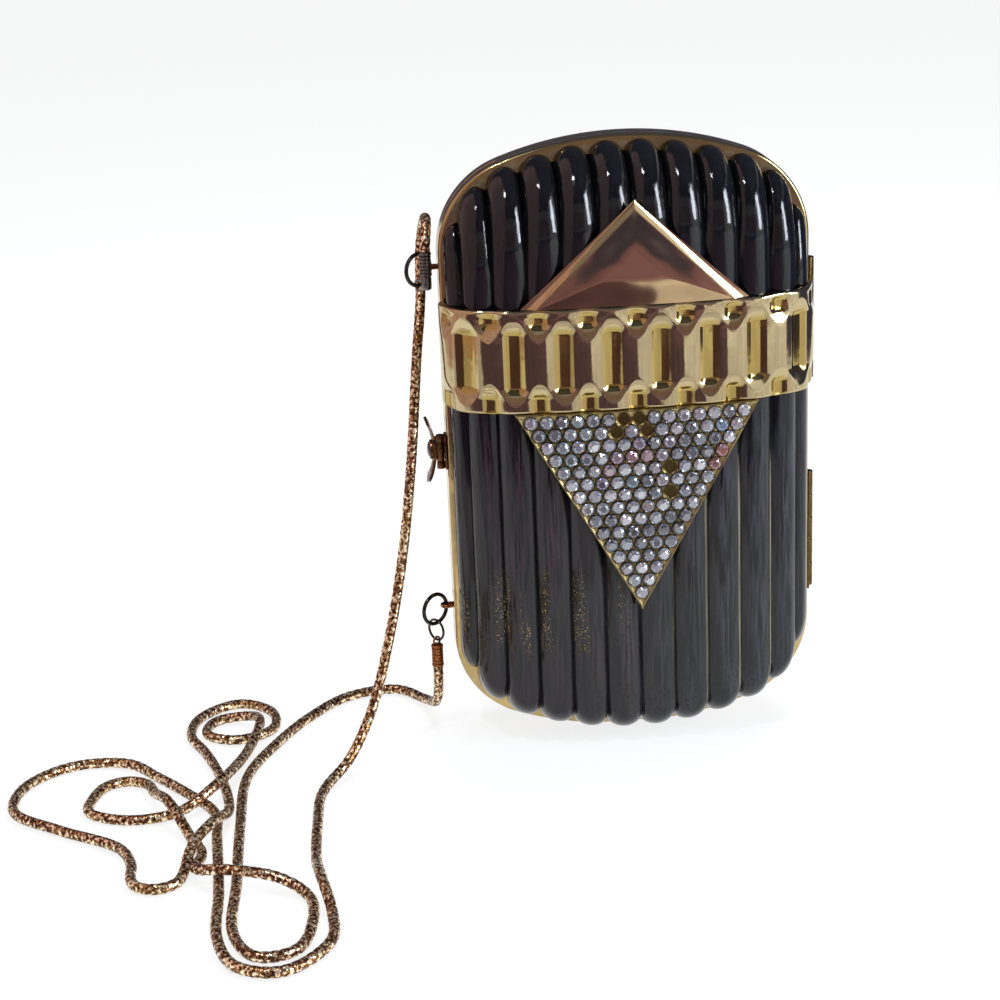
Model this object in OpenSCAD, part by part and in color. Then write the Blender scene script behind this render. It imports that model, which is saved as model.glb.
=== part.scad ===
// Minaudiere: a hard evening case of two fluted black shells in gold frames, hinged on one long side,
// with a snap clasp and two strap rings on the other. It stands on the lower end of its frames.
// +Z is up, the decorated front faces -Y, the hinges are at +X, and the origin is the middle of the foot.

/* [Case] */
// Width across the frames
case_w = 100; // [90:1:115]
// Height of the frames before the foot is cut flat
case_h = 168.4; // [150:1:190]
// Radius of the rounded top and bottom ends
end_r = 97; // [90:1:120]
// Radius of the four corners
corner_r = 25.6; // [20:0.2:30]
// Depth cut away under the lower end so that the case stands
foot_cut = 0.9; // [0.6:0.1:1.5]

/* [Frames] */
// Depth of one frame from the parting plane to its shell
frame_d = 4.5; // [4:0.1:6]
// Thickness of the frame's outer wall
frame_wall = 1.4; // [1:0.1:2]
// Thickness of the flange that carries the shell
flange_t = 1.2; // [0.8:0.1:1.6]
// Gap between the two closed frames
parting_gap = 0.3; // [0.2:0.05:0.5]
// Width of gold that shows round each shell
gold_margin = 1; // [0.8:0.1:2.4]

/* [Shells] */
// Height of a shell above its frame
shell_rise = 16.6; // [13:0.2:20]
// Thickness of a shell under a groove
shell_wall = 1.4; // [1.2:0.1:2]
// Number of flutes across a shell
flutes = 12; // [8:2:16]
// Depth of the grooves between flutes
groove_d = 1.9; // [1:0.1:2.4]
// Fullness of the cross-section: 2 is an ellipse, more is squarer
crown_power = 2.8; // [2.2:0.1:3.2]
// Depth over which the top and bottom ends round over
end_round = 20; // [14:0.5:24]
// Gold left beyond the flute tips, over and above the margin
tip_inset = 0.3; // [0.2:0.1:2]
// How far a groove ends short of the flute tips
tip_drop = 4.4; // [3:0.2:5]
// Thickness of the linings
lining_t = 0.7; // [0.5:0.1:1.2]
// Space between a lining and its shell
lining_gap = 0.5; // [0.3:0.1:1]

/* [Ornaments] */
// Height of the gold band
band_h = 28.3; // [24:0.5:32]
// Height of the band's lower edge above the middle of the case
band_z = 14; // [10:0.5:18]
// Thickness of the band
band_t = 1.4; // [1.2:0.1:1.8]
// Number of link pockets along the band
links = 8; // [6:1:9]
// Distance between link pockets along the curve
link_pitch = 12.9; // [12:0.1:13.4]
// Width of a link pocket
pocket_w = 5.4; // [4:0.2:6.4]
// Height of a link pocket
pocket_h = 17.4; // [14:0.2:19]
// Depth of the link pockets and notches
pocket_d = 0.8; // [0.4:0.1:1]
// Width of the upper triangle at its base
crest_w = 60.5; // [50:0.5:66]
// Height of the upper triangle above the band
crest_h = 27.6; // [22:0.5:30]
// Thickness of the two triangle plates
plate_t = 1.5; // [1.2:0.1:2]
// Distance between stones in a row
stone_pitch = 4.06; // [3.9:0.02:4.3]
// Stones in the longest row, and rows
stone_rows = 15; // [9:1:15]
// Diameter of a stone
stone_d = 3.6; // [3:0.1:3.7]
// Height of a stone
stone_h = 1.5; // [1.2:0.1:1.8]
// Depth of the seats that hold the stones
seat_d = 0.5; // [0.3:0.1:0.7]
// Width of the plain rim round the stones
tray_rim = 0.6; // [0.5:0.1:1.4]

/* [Hinges] */
// Distance of each hinge's middle from the middle of the case
hinge_z = 30.5; // [26:0.5:36]
// Length of a hinge
hinge_l = 34; // [26:1:40]
// Knuckles in a hinge
knuckles = 5; // [3:2:7]
// Radius of a knuckle
knuckle_r = 1.5; // [1.3:0.05:1.8]
// Radius of a hinge pin
pin_r = 0.7; // [0.5:0.05:0.9]
// Thickness of a hinge leaf
leaf_t = 0.7; // [0.5:0.1:0.9]

/* [Clasp] */
// Length of the bow-shaped lever
bow_l = 20; // [16:0.5:24]
// Width of the lever across its wings
bow_w = 7.6; // [7:0.1:8.4]
// Width of the lever at its waist
waist_w = 3.6; // [3:0.1:4]
// Thickness of the lever
bow_t = 0.9; // [0.7:0.1:1.2]
// Diameter of the round stone on the lever
cabochon_d = 4.6; // [4:0.1:5.4]

/* [Strap] */
// Distance of each strap ring's lug from the middle of the case
lug_z = 48.5; // [44:0.5:52]
// How far the lugs' middle lies above the middle of the case
lug_rise = 1.8; // [0:0.1:3]
// Outer diameter of a strap ring
ring_d = 9.6; // [8.6:0.1:11]
// Thickness of the ring wire
ring_wire = 1.1; // [0.9:0.05:1.3]
// Angle at which a ring stands forward of the side
ring_turn = 38; // [25:1:50]
// Outer diameter of the small link under the lower ring
link_d = 6.6; // [6:0.1:7.4]
// Thickness of the small link's wire
link_wire = 0.7; // [0.5:0.05:0.8]
// Diameter of the woven strap
strap_d = 2.8; // [2.4:0.1:3]
// Diameter of an end cap
cap_d = 3.4; // [3.2:0.1:3.8]
// Length of an end cap
cap_l = 6.5; // [5:0.1:8]

/* [Hidden] */

// Shared sizes
half_w = case_w / 2;
half_h = case_h / 2;
mid_z = half_h - foot_cut;
half_gap = parting_gap / 2;
cut = 1;
wire_fn = 32;
ring_fn = 64;
seat_fn = 24;
stone_fn = 16;
seat_gap = 0.1;
half_turn = 180;
quarter_turn = 90;

// Middle of a corner arc, and where it meets the end arc
corner_x = half_w - corner_r;
end_cz = half_h - end_r;
corner_z = end_cz + sqrt(pow(end_r - corner_r, 2) - pow(corner_x, 2));
meet_angle = atan2(corner_z - end_cz, corner_x);

// Height of the outline, drawn in by inset, above the middle of the case at x
function outline_z(x, inset) =
    let (r = end_r - inset, c = corner_r - inset, xa = min(abs(x), half_w - inset))
    xa <= r * cos(meet_angle) ? end_cz + sqrt(r * r - xa * xa)
        : corner_z + sqrt(max(0, c * c - pow(xa - corner_x, 2)));

// One quarter of the outline, drawn in by inset: the corner arc, then half of the end arc
corner_steps = 16;
arc_steps = 12;
function quarter_outline(inset) = concat(
    [for (i = [0 : corner_steps]) let (a = meet_angle * i / corner_steps)
        [corner_x, corner_z] + (corner_r - inset) * [cos(a), sin(a)]],
    [for (i = [1 : arc_steps]) let (a = meet_angle + (quarter_turn - meet_angle) * i / arc_steps)
        [0, end_cz] + (end_r - inset) * [cos(a), sin(a)]]);
// The whole outline about the middle of the case
module outline(inset) {
    right = quarter_outline(inset);
    upper = concat(right, [for (i = [len(right) - 2 : -1 : 0]) [-right[i][0], right[i][1]]]);
    lower = [for (i = [len(upper) - 1 : -1 : 0]) [upper[i][0], -upper[i][1]]];
    polygon(concat(upper, lower));
}

// Stands a drawing up as a slab from depth y0 to depth y1, with its foot cut flat
module upright(y0, y1) {
    difference() {
        translate([0, y1, mid_z]) rotate([quarter_turn, 0, 0]) linear_extrude(y1 - y0) children();
        translate([-case_w, y0 - cut, -case_h]) cube([case_w * 2, y1 - y0 + cut * 2, case_h]);
    }
}

// Plan of a shell: a full curve of half-width a and rise d, at angle t from the right edge
function plan_pt(t, a, d) =
    [a * sign(cos(t)) * pow(abs(cos(t)), 2 / crown_power), d * pow(abs(sin(t)), 2 / crown_power)];
shell_a = half_w - gold_margin;
plan_steps = 240;
plan_table = [for (i = [0 : plan_steps]) plan_pt(half_turn * i / plan_steps, shell_a, shell_rise)];
plan_len = [for (i = 0, s = 0; i <= plan_steps; i = i + 1,
    s = s + (i <= plan_steps ? norm(plan_table[i] - plan_table[i - 1]) : 0)) s];
plan_x = [for (i = [0 : plan_steps]) [plan_len[i], plan_table[i][0]]];
plan_y = [for (i = [0 : plan_steps]) [plan_len[i], plan_table[i][1]]];
plan_total = plan_len[plan_steps];
probe = 0.4;
// Point and direction on the plan at the distance s from the middle, to the right
function on_plan(s) = [lookup(plan_total / 2 - s, plan_x), lookup(plan_total / 2 - s, plan_y)];
function plan_angle(s) =
    let (v = on_plan(s + probe) - on_plan(s - probe)) atan2(v[1], v[0]);
function rise_at(x) = shell_rise * pow(max(0, 1 - pow(abs(x) / shell_a, crown_power)), 1 / crown_power);
function plan_slope(x) = atan2(rise_at(x + probe) - rise_at(x - probe), probe * 2);

// Flute profile: a round back of the given width and height
flute_w = plan_total / flutes;
flute_r = (pow(flute_w / 2, 2) + groove_d * groove_d) / (groove_d * 2);
function flute_drop(u) = flute_r - sqrt(flute_r * flute_r - pow(u * flute_w / 2, 2));
flute_steps = 6;
end_steps = 6;
end_angles = [for (j = [0 : end_steps]) quarter_turn * (1 - j / end_steps)];

// One column of surface points at distance s from the middle and place u across its flute
function shell_column(s, u, full) =
    let (p = on_plan(s), a = plan_angle(s), drop = flute_drop(u),
        x = p[0] + drop * sin(a), h = max(0, p[1] - drop * cos(a)) * full,
        z = outline_z(p[0], gold_margin) - tip_inset - tip_drop * (1 - sqrt(max(0, 1 - u * u))))
    end_column(x, h, z, end_round);
// One column of a smooth form, drawn in by inset
function smooth_column(s, inset) =
    let (p = on_plan(s), x = p[0] * (1 - inset / shell_a), h = max(0, p[1]) * (1 - inset / shell_rise),
        z = outline_z(p[0], gold_margin) - tip_inset - inset - tip_drop / 2)
    end_column(x, abs(s) == plan_total / 2 ? 0 : h, z, end_round - groove_d);
// A column of height h that rounds over to nothing at z and at -z
function end_column(x, h, z, r) = concat(
    [for (e = end_angles) [x, -h * cos(e), z - r * (1 - sin(e))]],
    [for (j = [end_steps : -1 : 0]) [x, -h * cos(end_angles[j]), r * (1 - sin(end_angles[j])) - z]]);

// A dish between an outer and an inner grid of columns, open at the plane y = 0
module dish(outer, inner) {
    n = len(outer);
    m = len(outer[0]);
    skin = [for (i = [0 : n - 2], j = [0 : m - 2]) let (a = i * m + j, b = a + m)
        each [[a, b + 1, a + 1], [a, b, b + 1]]];
    edge = concat([for (i = [0 : n - 1]) i * m], [for (j = [1 : m - 1]) (n - 1) * m + j],
        [for (i = [n - 2 : -1 : 0]) i * m + m - 1], [for (j = [m - 2 : -1 : 1]) j]);
    e = len(edge);
    rim = [for (k = [0 : e - 1]) let (a = edge[k], b = edge[(k + 1) % e], c = n * m)
        each [[a, b + c, b], [a, a + c, b + c]]];
    polyhedron(points = concat([for (c = outer) each c], [for (c = inner) each c]),
        faces = concat(skin, [for (f = skin) [f[2], f[1], f[0]] + n * m * [1, 1, 1]], rim), convexity = 6);
}
hollow_inset = groove_d + shell_wall;
lining_out = hollow_inset + lining_gap;
lining_in = lining_out + lining_t;

// A fluted shell and a smooth lining on the plane y = 0, about the middle of the case
module fluted_dish() {
    n = flutes * flute_steps;
    places = [for (i = [0 : n]) plan_total * (i / n - 1 / 2)];
    dish([for (i = [0 : n]) let (k = i % flute_steps)
            shell_column(places[i], k == 0 ? 1 : 2 * k / flute_steps - 1, i == 0 || i == n ? 0 : 1)],
        [for (s = places) smooth_column(s, hollow_inset)]);
}
lining_steps = 24;
module smooth_dish() {
    places = [for (i = [0 : lining_steps]) plan_total * (i / lining_steps - 1 / 2)];
    dish([for (s = places) smooth_column(s, lining_out)], [for (s = places) smooth_column(s, lining_in)]);
}

// Places a form on the front frame, or on the back one
module on_front() { translate([0, -frame_d, mid_z]) children(); }
module on_back() { translate([0, frame_d, mid_z]) mirror([0, 1, 0]) children(); }

// Where the hinge knuckles run, and the relief for them
hinge_x = half_w + knuckle_r - leaf_t;
knuckle_room = 0.3;
module hinge_relief() {
    for (s = [-1, 1]) translate([hinge_x, 0, mid_z + s * hinge_z - hinge_l / 2 - knuckle_room])
        cylinder(r = knuckle_r + knuckle_room, h = hinge_l + knuckle_room * 2, $fn = wire_fn);
}

flange_w = gold_margin + hollow_inset;
module frame(y0, y1, flange_y) {
    difference() {
        union() {
            upright(y0, y1) difference() {
                outline(0);
                outline(frame_wall);
            }
            upright(flange_y, flange_y + flange_t) difference() {
                outline(frame_wall / 2);
                outline(flange_w);
            }
        }
        hinge_relief();
    }
}
module back_frame() { color("#c9a45a") frame(half_gap, frame_d, frame_d - flange_t); }
module front_frame() { color("#c9a45a") frame(-frame_d, -half_gap, -frame_d); }

module back_shell() { color("#16151a") on_back() fluted_dish(); }
module front_shell() { color("#16151a") on_front() fluted_dish(); }
module back_lining() { color("#2a2427") on_back() smooth_dish(); }
module front_lining() { color("#2a2427") on_front() smooth_dish(); }

// A plate that follows the crowns of the flutes, from the gap up to the gap plus t, between two heights
crown_gap = 0.05;
plate_steps = 48;
function plan_ring(off) = [for (i = [0 : plate_steps]) let (t = half_turn * i / plate_steps)
    plan_pt(t, shell_a + off, shell_rise + off)];
function flip_y(pts) = [for (p = pts) [p[0], -p[1]]];
module crown_plate(t, z0, z1) {
    inner = plan_ring(crown_gap);
    outer = plan_ring(crown_gap + t);
    translate([0, -frame_d, mid_z + z0]) linear_extrude(z1 - z0)
        polygon(flip_y(concat(outer, [for (i = [plate_steps : -1 : 0]) inner[i]])));
}
// Cuts or places something at distance s round the front, at height z, facing out along local -Y
module at_front(s, z) {
    p = on_plan(s);
    translate([p[0], -frame_d - p[1], mid_z + z]) rotate([0, 0, -plan_angle(s)]) children();
}

// Band of stamped links
band_top = band_z + band_h;
notch_share = 0.95;
notch_w = pocket_w * notch_share;
notch_h = (band_h - pocket_h) / 2;
band_face = crown_gap + band_t;
module band_pocket(s, z, w, h) {
    at_front(s, z) translate([-w / 2, -band_face - cut, -h / 2]) cube([w, pocket_d + cut, h]);
}
module gold_band() {
    color("#d8b45a") difference() {
        crown_plate(band_t, band_z, band_top);
        for (i = [0 : links - 1])
            band_pocket((i - (links - 1) / 2) * link_pitch, band_z + band_h / 2, pocket_w, pocket_h);
        for (i = [1 : links - 1], z = [band_z, band_top])
            band_pocket((i - links / 2) * link_pitch, z, notch_w, notch_h);
    }
}

// Upper triangle, tucked against the band's top edge
module wedge(w, h, z0) {
    translate([0, 0, mid_z + z0]) rotate([quarter_turn, 0, 0])
        linear_extrude(case_w) polygon([[-w / 2, 0], [w / 2, 0], [0, h]]);
}
module crest_plate() {
    color("#b98a52") intersection() {
        crown_plate(plate_t, band_top, half_h);
        wedge(crest_w, crest_h, band_top);
    }
}

// Lower triangle: a tray with a raised rim and a seat for each stone
row_pitch = stone_pitch * sqrt(3) / 2;
row_z = band_z - tray_rim - stone_d / 2;
tray_side = (stone_rows - 1) * stone_pitch + (stone_d + tray_rim * 2) * sqrt(3);
tray_h = tray_side * sqrt(3) / 2;
rim_step = 0.3;
stone_base = crown_gap + plate_t - seat_d;
// Rows and places of stones that are lost from their seats
lost = [[0, 6], [0, 7], [1, 5], [1, 7], [4, 7], [6, 6]];
function is_lost(r, k) = len([for (l = lost) if (l[0] == r && l[1] == k) l]) > 0;
module at_seat(r, k) {
    x = (k - (stone_rows - r - 1) / 2) * stone_pitch;
    translate([x, -frame_d - rise_at(x), mid_z + row_z - r * row_pitch])
        rotate([quarter_turn, 0, -plan_slope(x)]) translate([0, 0, stone_base]) children();
}
module pave_tray() {
    color("#a98d52") difference() {
        intersection() {
            crown_plate(plate_t + rim_step, -half_h, band_z);
            mirror([0, 0, 1]) translate([0, 0, -mid_z * 2]) wedge(tray_side, tray_h, -band_z);
        }
        intersection() {
            difference() {
                crown_plate(plate_t + rim_step + cut, -half_h, band_z);
                crown_plate(plate_t, -half_h, band_z);
            }
            translate([0, 0, -tray_rim / 2]) mirror([0, 0, 1]) translate([0, 0, -mid_z * 2])
                wedge(tray_side - tray_rim * sqrt(3), tray_h - tray_rim * 3 / 2, -band_z);
        }
        for (r = [0 : stone_rows - 1], k = [0 : stone_rows - r - 1])
            at_seat(r, k) cylinder(d = stone_d + seat_gap * 2, h = plate_t, $fn = seat_fn);
    }
}
girdle_share = 0.35;
table_share = 0.5;
module stone() {
    girdle = stone_h * girdle_share;
    cylinder(d = stone_d, h = girdle, $fn = stone_fn);
    translate([0, 0, girdle])
        cylinder(d1 = stone_d, d2 = stone_d * table_share, h = stone_h - girdle, $fn = stone_fn);
}
module pave_stones() {
    color("#c3cbd8") for (r = [0 : stone_rows - 1], k = [0 : stone_rows - r - 1])
        if (!is_lost(r, k)) at_seat(r, k) stone();
}

// Hinges: the back leaf has the odd knuckles, the front leaf the even ones
knuckle_gap = 0.15;
knuckle_l = hinge_l / knuckles;
// Gold left beyond the outer edge of a leaf
leaf_edge = 0.9;
leaf_reach = frame_d - leaf_edge;
module knuckle(z, i) {
    translate([hinge_x, 0, z - hinge_l / 2 + i * knuckle_l + knuckle_gap / 2])
        cylinder(r = knuckle_r, h = knuckle_l - knuckle_gap, $fn = wire_fn);
}
module hinge_leaf(z, side) {
    color("#b8924c") difference() {
        union() {
            for (i = [0 : knuckles - 1]) if (i % 2 == (side > 0 ? 0 : 1)) {
                knuckle(z, i);
                translate([half_w, side > 0 ? 0 : -leaf_reach,
                    z - hinge_l / 2 + i * knuckle_l + knuckle_gap / 2])
                    cube([leaf_t, leaf_reach, knuckle_l - knuckle_gap]);
            }
            translate([half_w, side > 0 ? knuckle_r + knuckle_room : -leaf_reach, z - hinge_l / 2])
                cube([leaf_t, leaf_reach - knuckle_r - knuckle_room, hinge_l]);
        }
        translate([hinge_x, 0, z - hinge_l])
            cylinder(r = pin_r + seat_gap / 2, h = hinge_l * 2, $fn = wire_fn);
    }
}
module hinge_pin(z) {
    color("#8d7240") translate([hinge_x, 0, z - hinge_l / 2])
        cylinder(r = pin_r, h = hinge_l, $fn = wire_fn);
}
module hinge_leaf_back_upper() { hinge_leaf(mid_z + hinge_z, 1); }
module hinge_leaf_back_lower() { hinge_leaf(mid_z - hinge_z, 1); }
module hinge_leaf_front_upper() { hinge_leaf(mid_z + hinge_z, -1); }
module hinge_leaf_front_lower() { hinge_leaf(mid_z - hinge_z, -1); }
module hinge_pin_upper() { hinge_pin(mid_z + hinge_z); }
module hinge_pin_lower() { hinge_pin(mid_z - hinge_z); }

// Clasp: a bow-shaped lever on a pin in a bracket on the front frame, its lip just outside a bead
// on the back frame
barrel_r = 1.1;
clasp_pin_r = 0.5;
bracket_t = 0.6;
ear_l = 2;
ear_gap = 0.2;
barrel_shoulder = 1;
barrel_l = waist_w + barrel_shoulder * 2;
// How far the pin lies forward of the middle of the front frame
pin_forward = 0.4;
pin_y = -frame_d / 2 - pin_forward;
clasp_x = -half_w - bracket_t - barrel_r;
module clasp_bracket() {
    color("#9c7440") {
        translate([-half_w - bracket_t, -frame_d, mid_z - barrel_l / 2 - ear_l])
            cube([bracket_t, frame_d - half_gap * 2, barrel_l + ear_l * 2]);
        for (s = [-1, 1]) difference() {
            translate([clasp_x, pin_y, mid_z + s * (barrel_l / 2 + ear_l / 2) - ear_l / 2]) {
                cylinder(r = barrel_r, h = ear_l, $fn = wire_fn);
                translate([0, -barrel_r / 2, 0]) cube([barrel_r + bracket_t / 2, barrel_r, ear_l]);
            }
            clasp_bore(clasp_pin_r);
        }
    }
}
module clasp_bore(r) {
    translate([clasp_x, pin_y, mid_z - bow_l]) cylinder(r = r, h = bow_l * 2, $fn = wire_fn);
}
module clasp_pin() {
    color("#8d7240") translate([clasp_x, pin_y, mid_z - barrel_l / 2 - ear_l])
        cylinder(r = clasp_pin_r, h = barrel_l + ear_l * 2, $fn = wire_fn);
}
plate_x = clasp_x - barrel_r;
lever_play = 0.08;
lip_inset = 0.6;
lip_y = frame_d - lip_inset;
wing_flare = 12;
wing_corner_share = 0.8;
bezel_t = 0.8;
bezel_wall = 0.4;
bezel_x = plate_x - bow_t;
// Where the wings start to flare, beyond the bezel
flare_z = cabochon_d / 2 + bezel_wall + seat_gap;
module clasp_bow() {
    wing_l = bow_l / 2 - flare_z;
    color("#a87a45") difference() {
        union() {
            translate([clasp_x, pin_y, mid_z - barrel_l / 2 + ear_gap])
                cylinder(r = barrel_r - lever_play, h = barrel_l - ear_gap * 2, $fn = wire_fn);
            translate([plate_x - bow_t, -waist_w / 2 + pin_y / 2, mid_z - barrel_l / 2 + ear_gap])
                cube([bow_t + lever_play * 2, lip_y + waist_w / 2 - pin_y / 2, barrel_l - ear_gap * 2]);
            translate([plate_x - bow_t, lip_y - bow_t, mid_z - barrel_l / 2 + ear_gap])
                cube([barrel_r + bow_t, bow_t, barrel_l - ear_gap * 2]);
            translate([plate_x - bow_t, -waist_w / 2, mid_z - flare_z]) cube([bow_t, waist_w, flare_z * 2]);
            for (s = [0, 1]) translate([plate_x, 0, mid_z]) mirror([0, 0, s]) translate([0, 0, flare_z])
                rotate([0, -wing_flare, 0]) translate([-bow_t, 0, 0])
                    rotate([quarter_turn, 0, quarter_turn]) linear_extrude(bow_t)
                        polygon([[-waist_w / 2, 0], [waist_w / 2, 0], [bow_w / 2, wing_l * wing_corner_share],
                            [0, wing_l], [-bow_w / 2, wing_l * wing_corner_share]]);
        }
        clasp_bore(clasp_pin_r + lever_play);
    }
}
module clasp_bezel() {
    color("#8d6a3c") translate([bezel_x, 0, mid_z]) rotate([0, -quarter_turn, 0]) difference() {
        cylinder(d = cabochon_d + bezel_wall * 2, h = bezel_t, $fn = wire_fn * 2);
        translate([0, 0, bezel_t / 3]) cylinder(d = cabochon_d, h = bezel_t, $fn = wire_fn * 2);
    }
}
dome_share = 0.56;
module clasp_cabochon() {
    dome_r = cabochon_d * dome_share;
    base = sqrt(dome_r * dome_r - pow(cabochon_d / 2 - seat_gap / 2, 2));
    color("#1b2340") translate([bezel_x - bezel_t / 3, 0, mid_z]) rotate([0, -quarter_turn, 0])
        translate([0, 0, -base]) difference() {
            sphere(r = dome_r, $fn = wire_fn * 2);
            translate([-dome_r * 2, -dome_r * 2, base - dome_r * 4]) cube(dome_r * 4);
        }
}
bead_r = 0.6;
bead_l = 5;
module clasp_catch() {
    color("#9c7440") translate([-half_w, lip_y - bow_t - bead_r * 2, mid_z - bead_l / 2]) difference() {
        cylinder(r = bead_r, h = bead_l, $fn = wire_fn);
        translate([0, -bead_r * 2, -cut]) cube([bead_r * 2, bead_r * 4, bead_l + cut * 2]);
    }
}
spring_t = 0.25;
spring_l = barrel_l - ear_gap * 4;
module clasp_spring() {
    color("#b9b9b4")
        translate([-half_w - bracket_t - spring_t, pin_y + barrel_r + ear_gap, mid_z - spring_l / 2])
        cube([spring_t, -half_gap * 2 - pin_y - barrel_r - ear_gap, spring_l]);
}

// Strap rings: each hangs in an eye on the back frame's side, the lower one with a small link
ring_r = (ring_d - ring_wire) / 2;
link_r = (link_d - link_wire) / 2;
lug_y = frame_d / 2;
lug_play = 0.35;
lug_wall = 0.8;
lug_hole_r = ring_wire / 2 + lug_play;
lug_r = lug_hole_r + lug_wall;
lug_t = 1.1;
lug_foot_share = 0.8;
lug_x = -half_w - lug_r - seat_gap;
lug_mid = mid_z + lug_rise;
ring_dir = [-cos(ring_turn), -sin(ring_turn), 0];
ring_normal = [sin(ring_turn), -cos(ring_turn), 0];
function ring_mid(z) = [lug_x, lug_y, z] + ring_r * ring_dir;
module ring_lug(z) {
    color("#b07a45") translate([lug_x, lug_y, z - lug_t / 2]) difference() {
        union() {
            cylinder(r = lug_r, h = lug_t, $fn = wire_fn);
            translate([0, -lug_r * lug_foot_share, 0])
                cube([-half_w - lug_x, lug_r * lug_foot_share * 2, lug_t]);
        }
        translate([0, 0, -cut]) cylinder(r = lug_hole_r, h = lug_t + cut * 2, $fn = wire_fn);
    }
}
// A wire ring about an axis that lies level and points along the angle given
module wire_ring(r, wire, angle) {
    rotate([quarter_turn, 0, angle]) rotate_extrude($fn = ring_fn)
        translate([r, 0]) circle(d = wire, $fn = seat_fn);
}
module strap_ring(z) { color("#45433f") translate(ring_mid(z)) wire_ring(ring_r, ring_wire, ring_turn); }
module ring_lug_upper() { ring_lug(lug_mid + lug_z); }
module ring_lug_lower() { ring_lug(lug_mid - lug_z); }
module strap_ring_upper() { strap_ring(lug_mid + lug_z); }
module strap_ring_lower() { strap_ring(lug_mid - lug_z); }

// Where each end of the strap hangs
upper_hang = ring_mid(lug_mid + lug_z) - [0, 0, ring_r];
lower_hang = ring_mid(lug_mid - lug_z) - [0, 0, ring_r];
link_rest = (ring_wire + link_wire) / 2 + seat_gap;
link_mid = lower_hang + [0, 0, link_rest - link_r];
module lower_link() {
    color("#57534c") translate(link_mid) wire_ring(link_r, link_wire, ring_turn - quarter_turn);
}

// An eye at the origin whose hole runs along a level direction, beside or above a barrel
eye_t = 1;
eye_wall = 0.6;
module cap_eye(hole_r, angle) {
    rotate([quarter_turn, 0, angle]) translate([0, 0, -eye_t / 2]) difference() {
        cylinder(r = hole_r + eye_wall, h = eye_t, $fn = wire_fn);
        translate([0, 0, -cut]) cylinder(r = hole_r, h = eye_t + cut * 2, $fn = wire_fn);
    }
}
upper_eye_play = 0.62;
cap_clear = 0.05;
upper_eye_r = ring_wire / 2 + upper_eye_play;
upper_cap_out = upper_eye_r + cap_d / 2 + cap_clear;
// The upper cap stands on a neck beside its eye
cap_lift = 2.9;
neck_inset = 0.2;
neck_drop = 0.9;
upper_cap_at = upper_hang + upper_cap_out * ring_normal + [0, 0, cap_lift];
module end_cap_upper() {
    color("#7b7a78") {
        translate(upper_hang) cap_eye(upper_eye_r, ring_turn - quarter_turn);
        translate(upper_cap_at) cylinder(d = cap_d, h = cap_l, $fn = wire_fn);
        translate(upper_cap_at - [0, 0, cap_lift + neck_drop])
            cylinder(r = cap_d / 2 - neck_inset, h = cap_lift + neck_drop * 2, $fn = wire_fn);
    }
}
lower_eye_play = 0.5;
cap_neck = 0.2;
lower_eye_r = link_wire / 2 + lower_eye_play;
lower_eye_at = link_mid - [0, 0, link_r + lower_eye_r - link_wire / 2 - seat_gap];
lower_cap_top = lower_eye_at - [0, 0, lower_eye_r + cap_neck];
module end_cap_lower() {
    color("#a5693f") {
        translate(lower_eye_at) cap_eye(lower_eye_r, ring_turn);
        translate(lower_cap_top - [0, 0, cap_l]) cylinder(d = cap_d, h = cap_l, $fn = wire_fn);
    }
}

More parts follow.
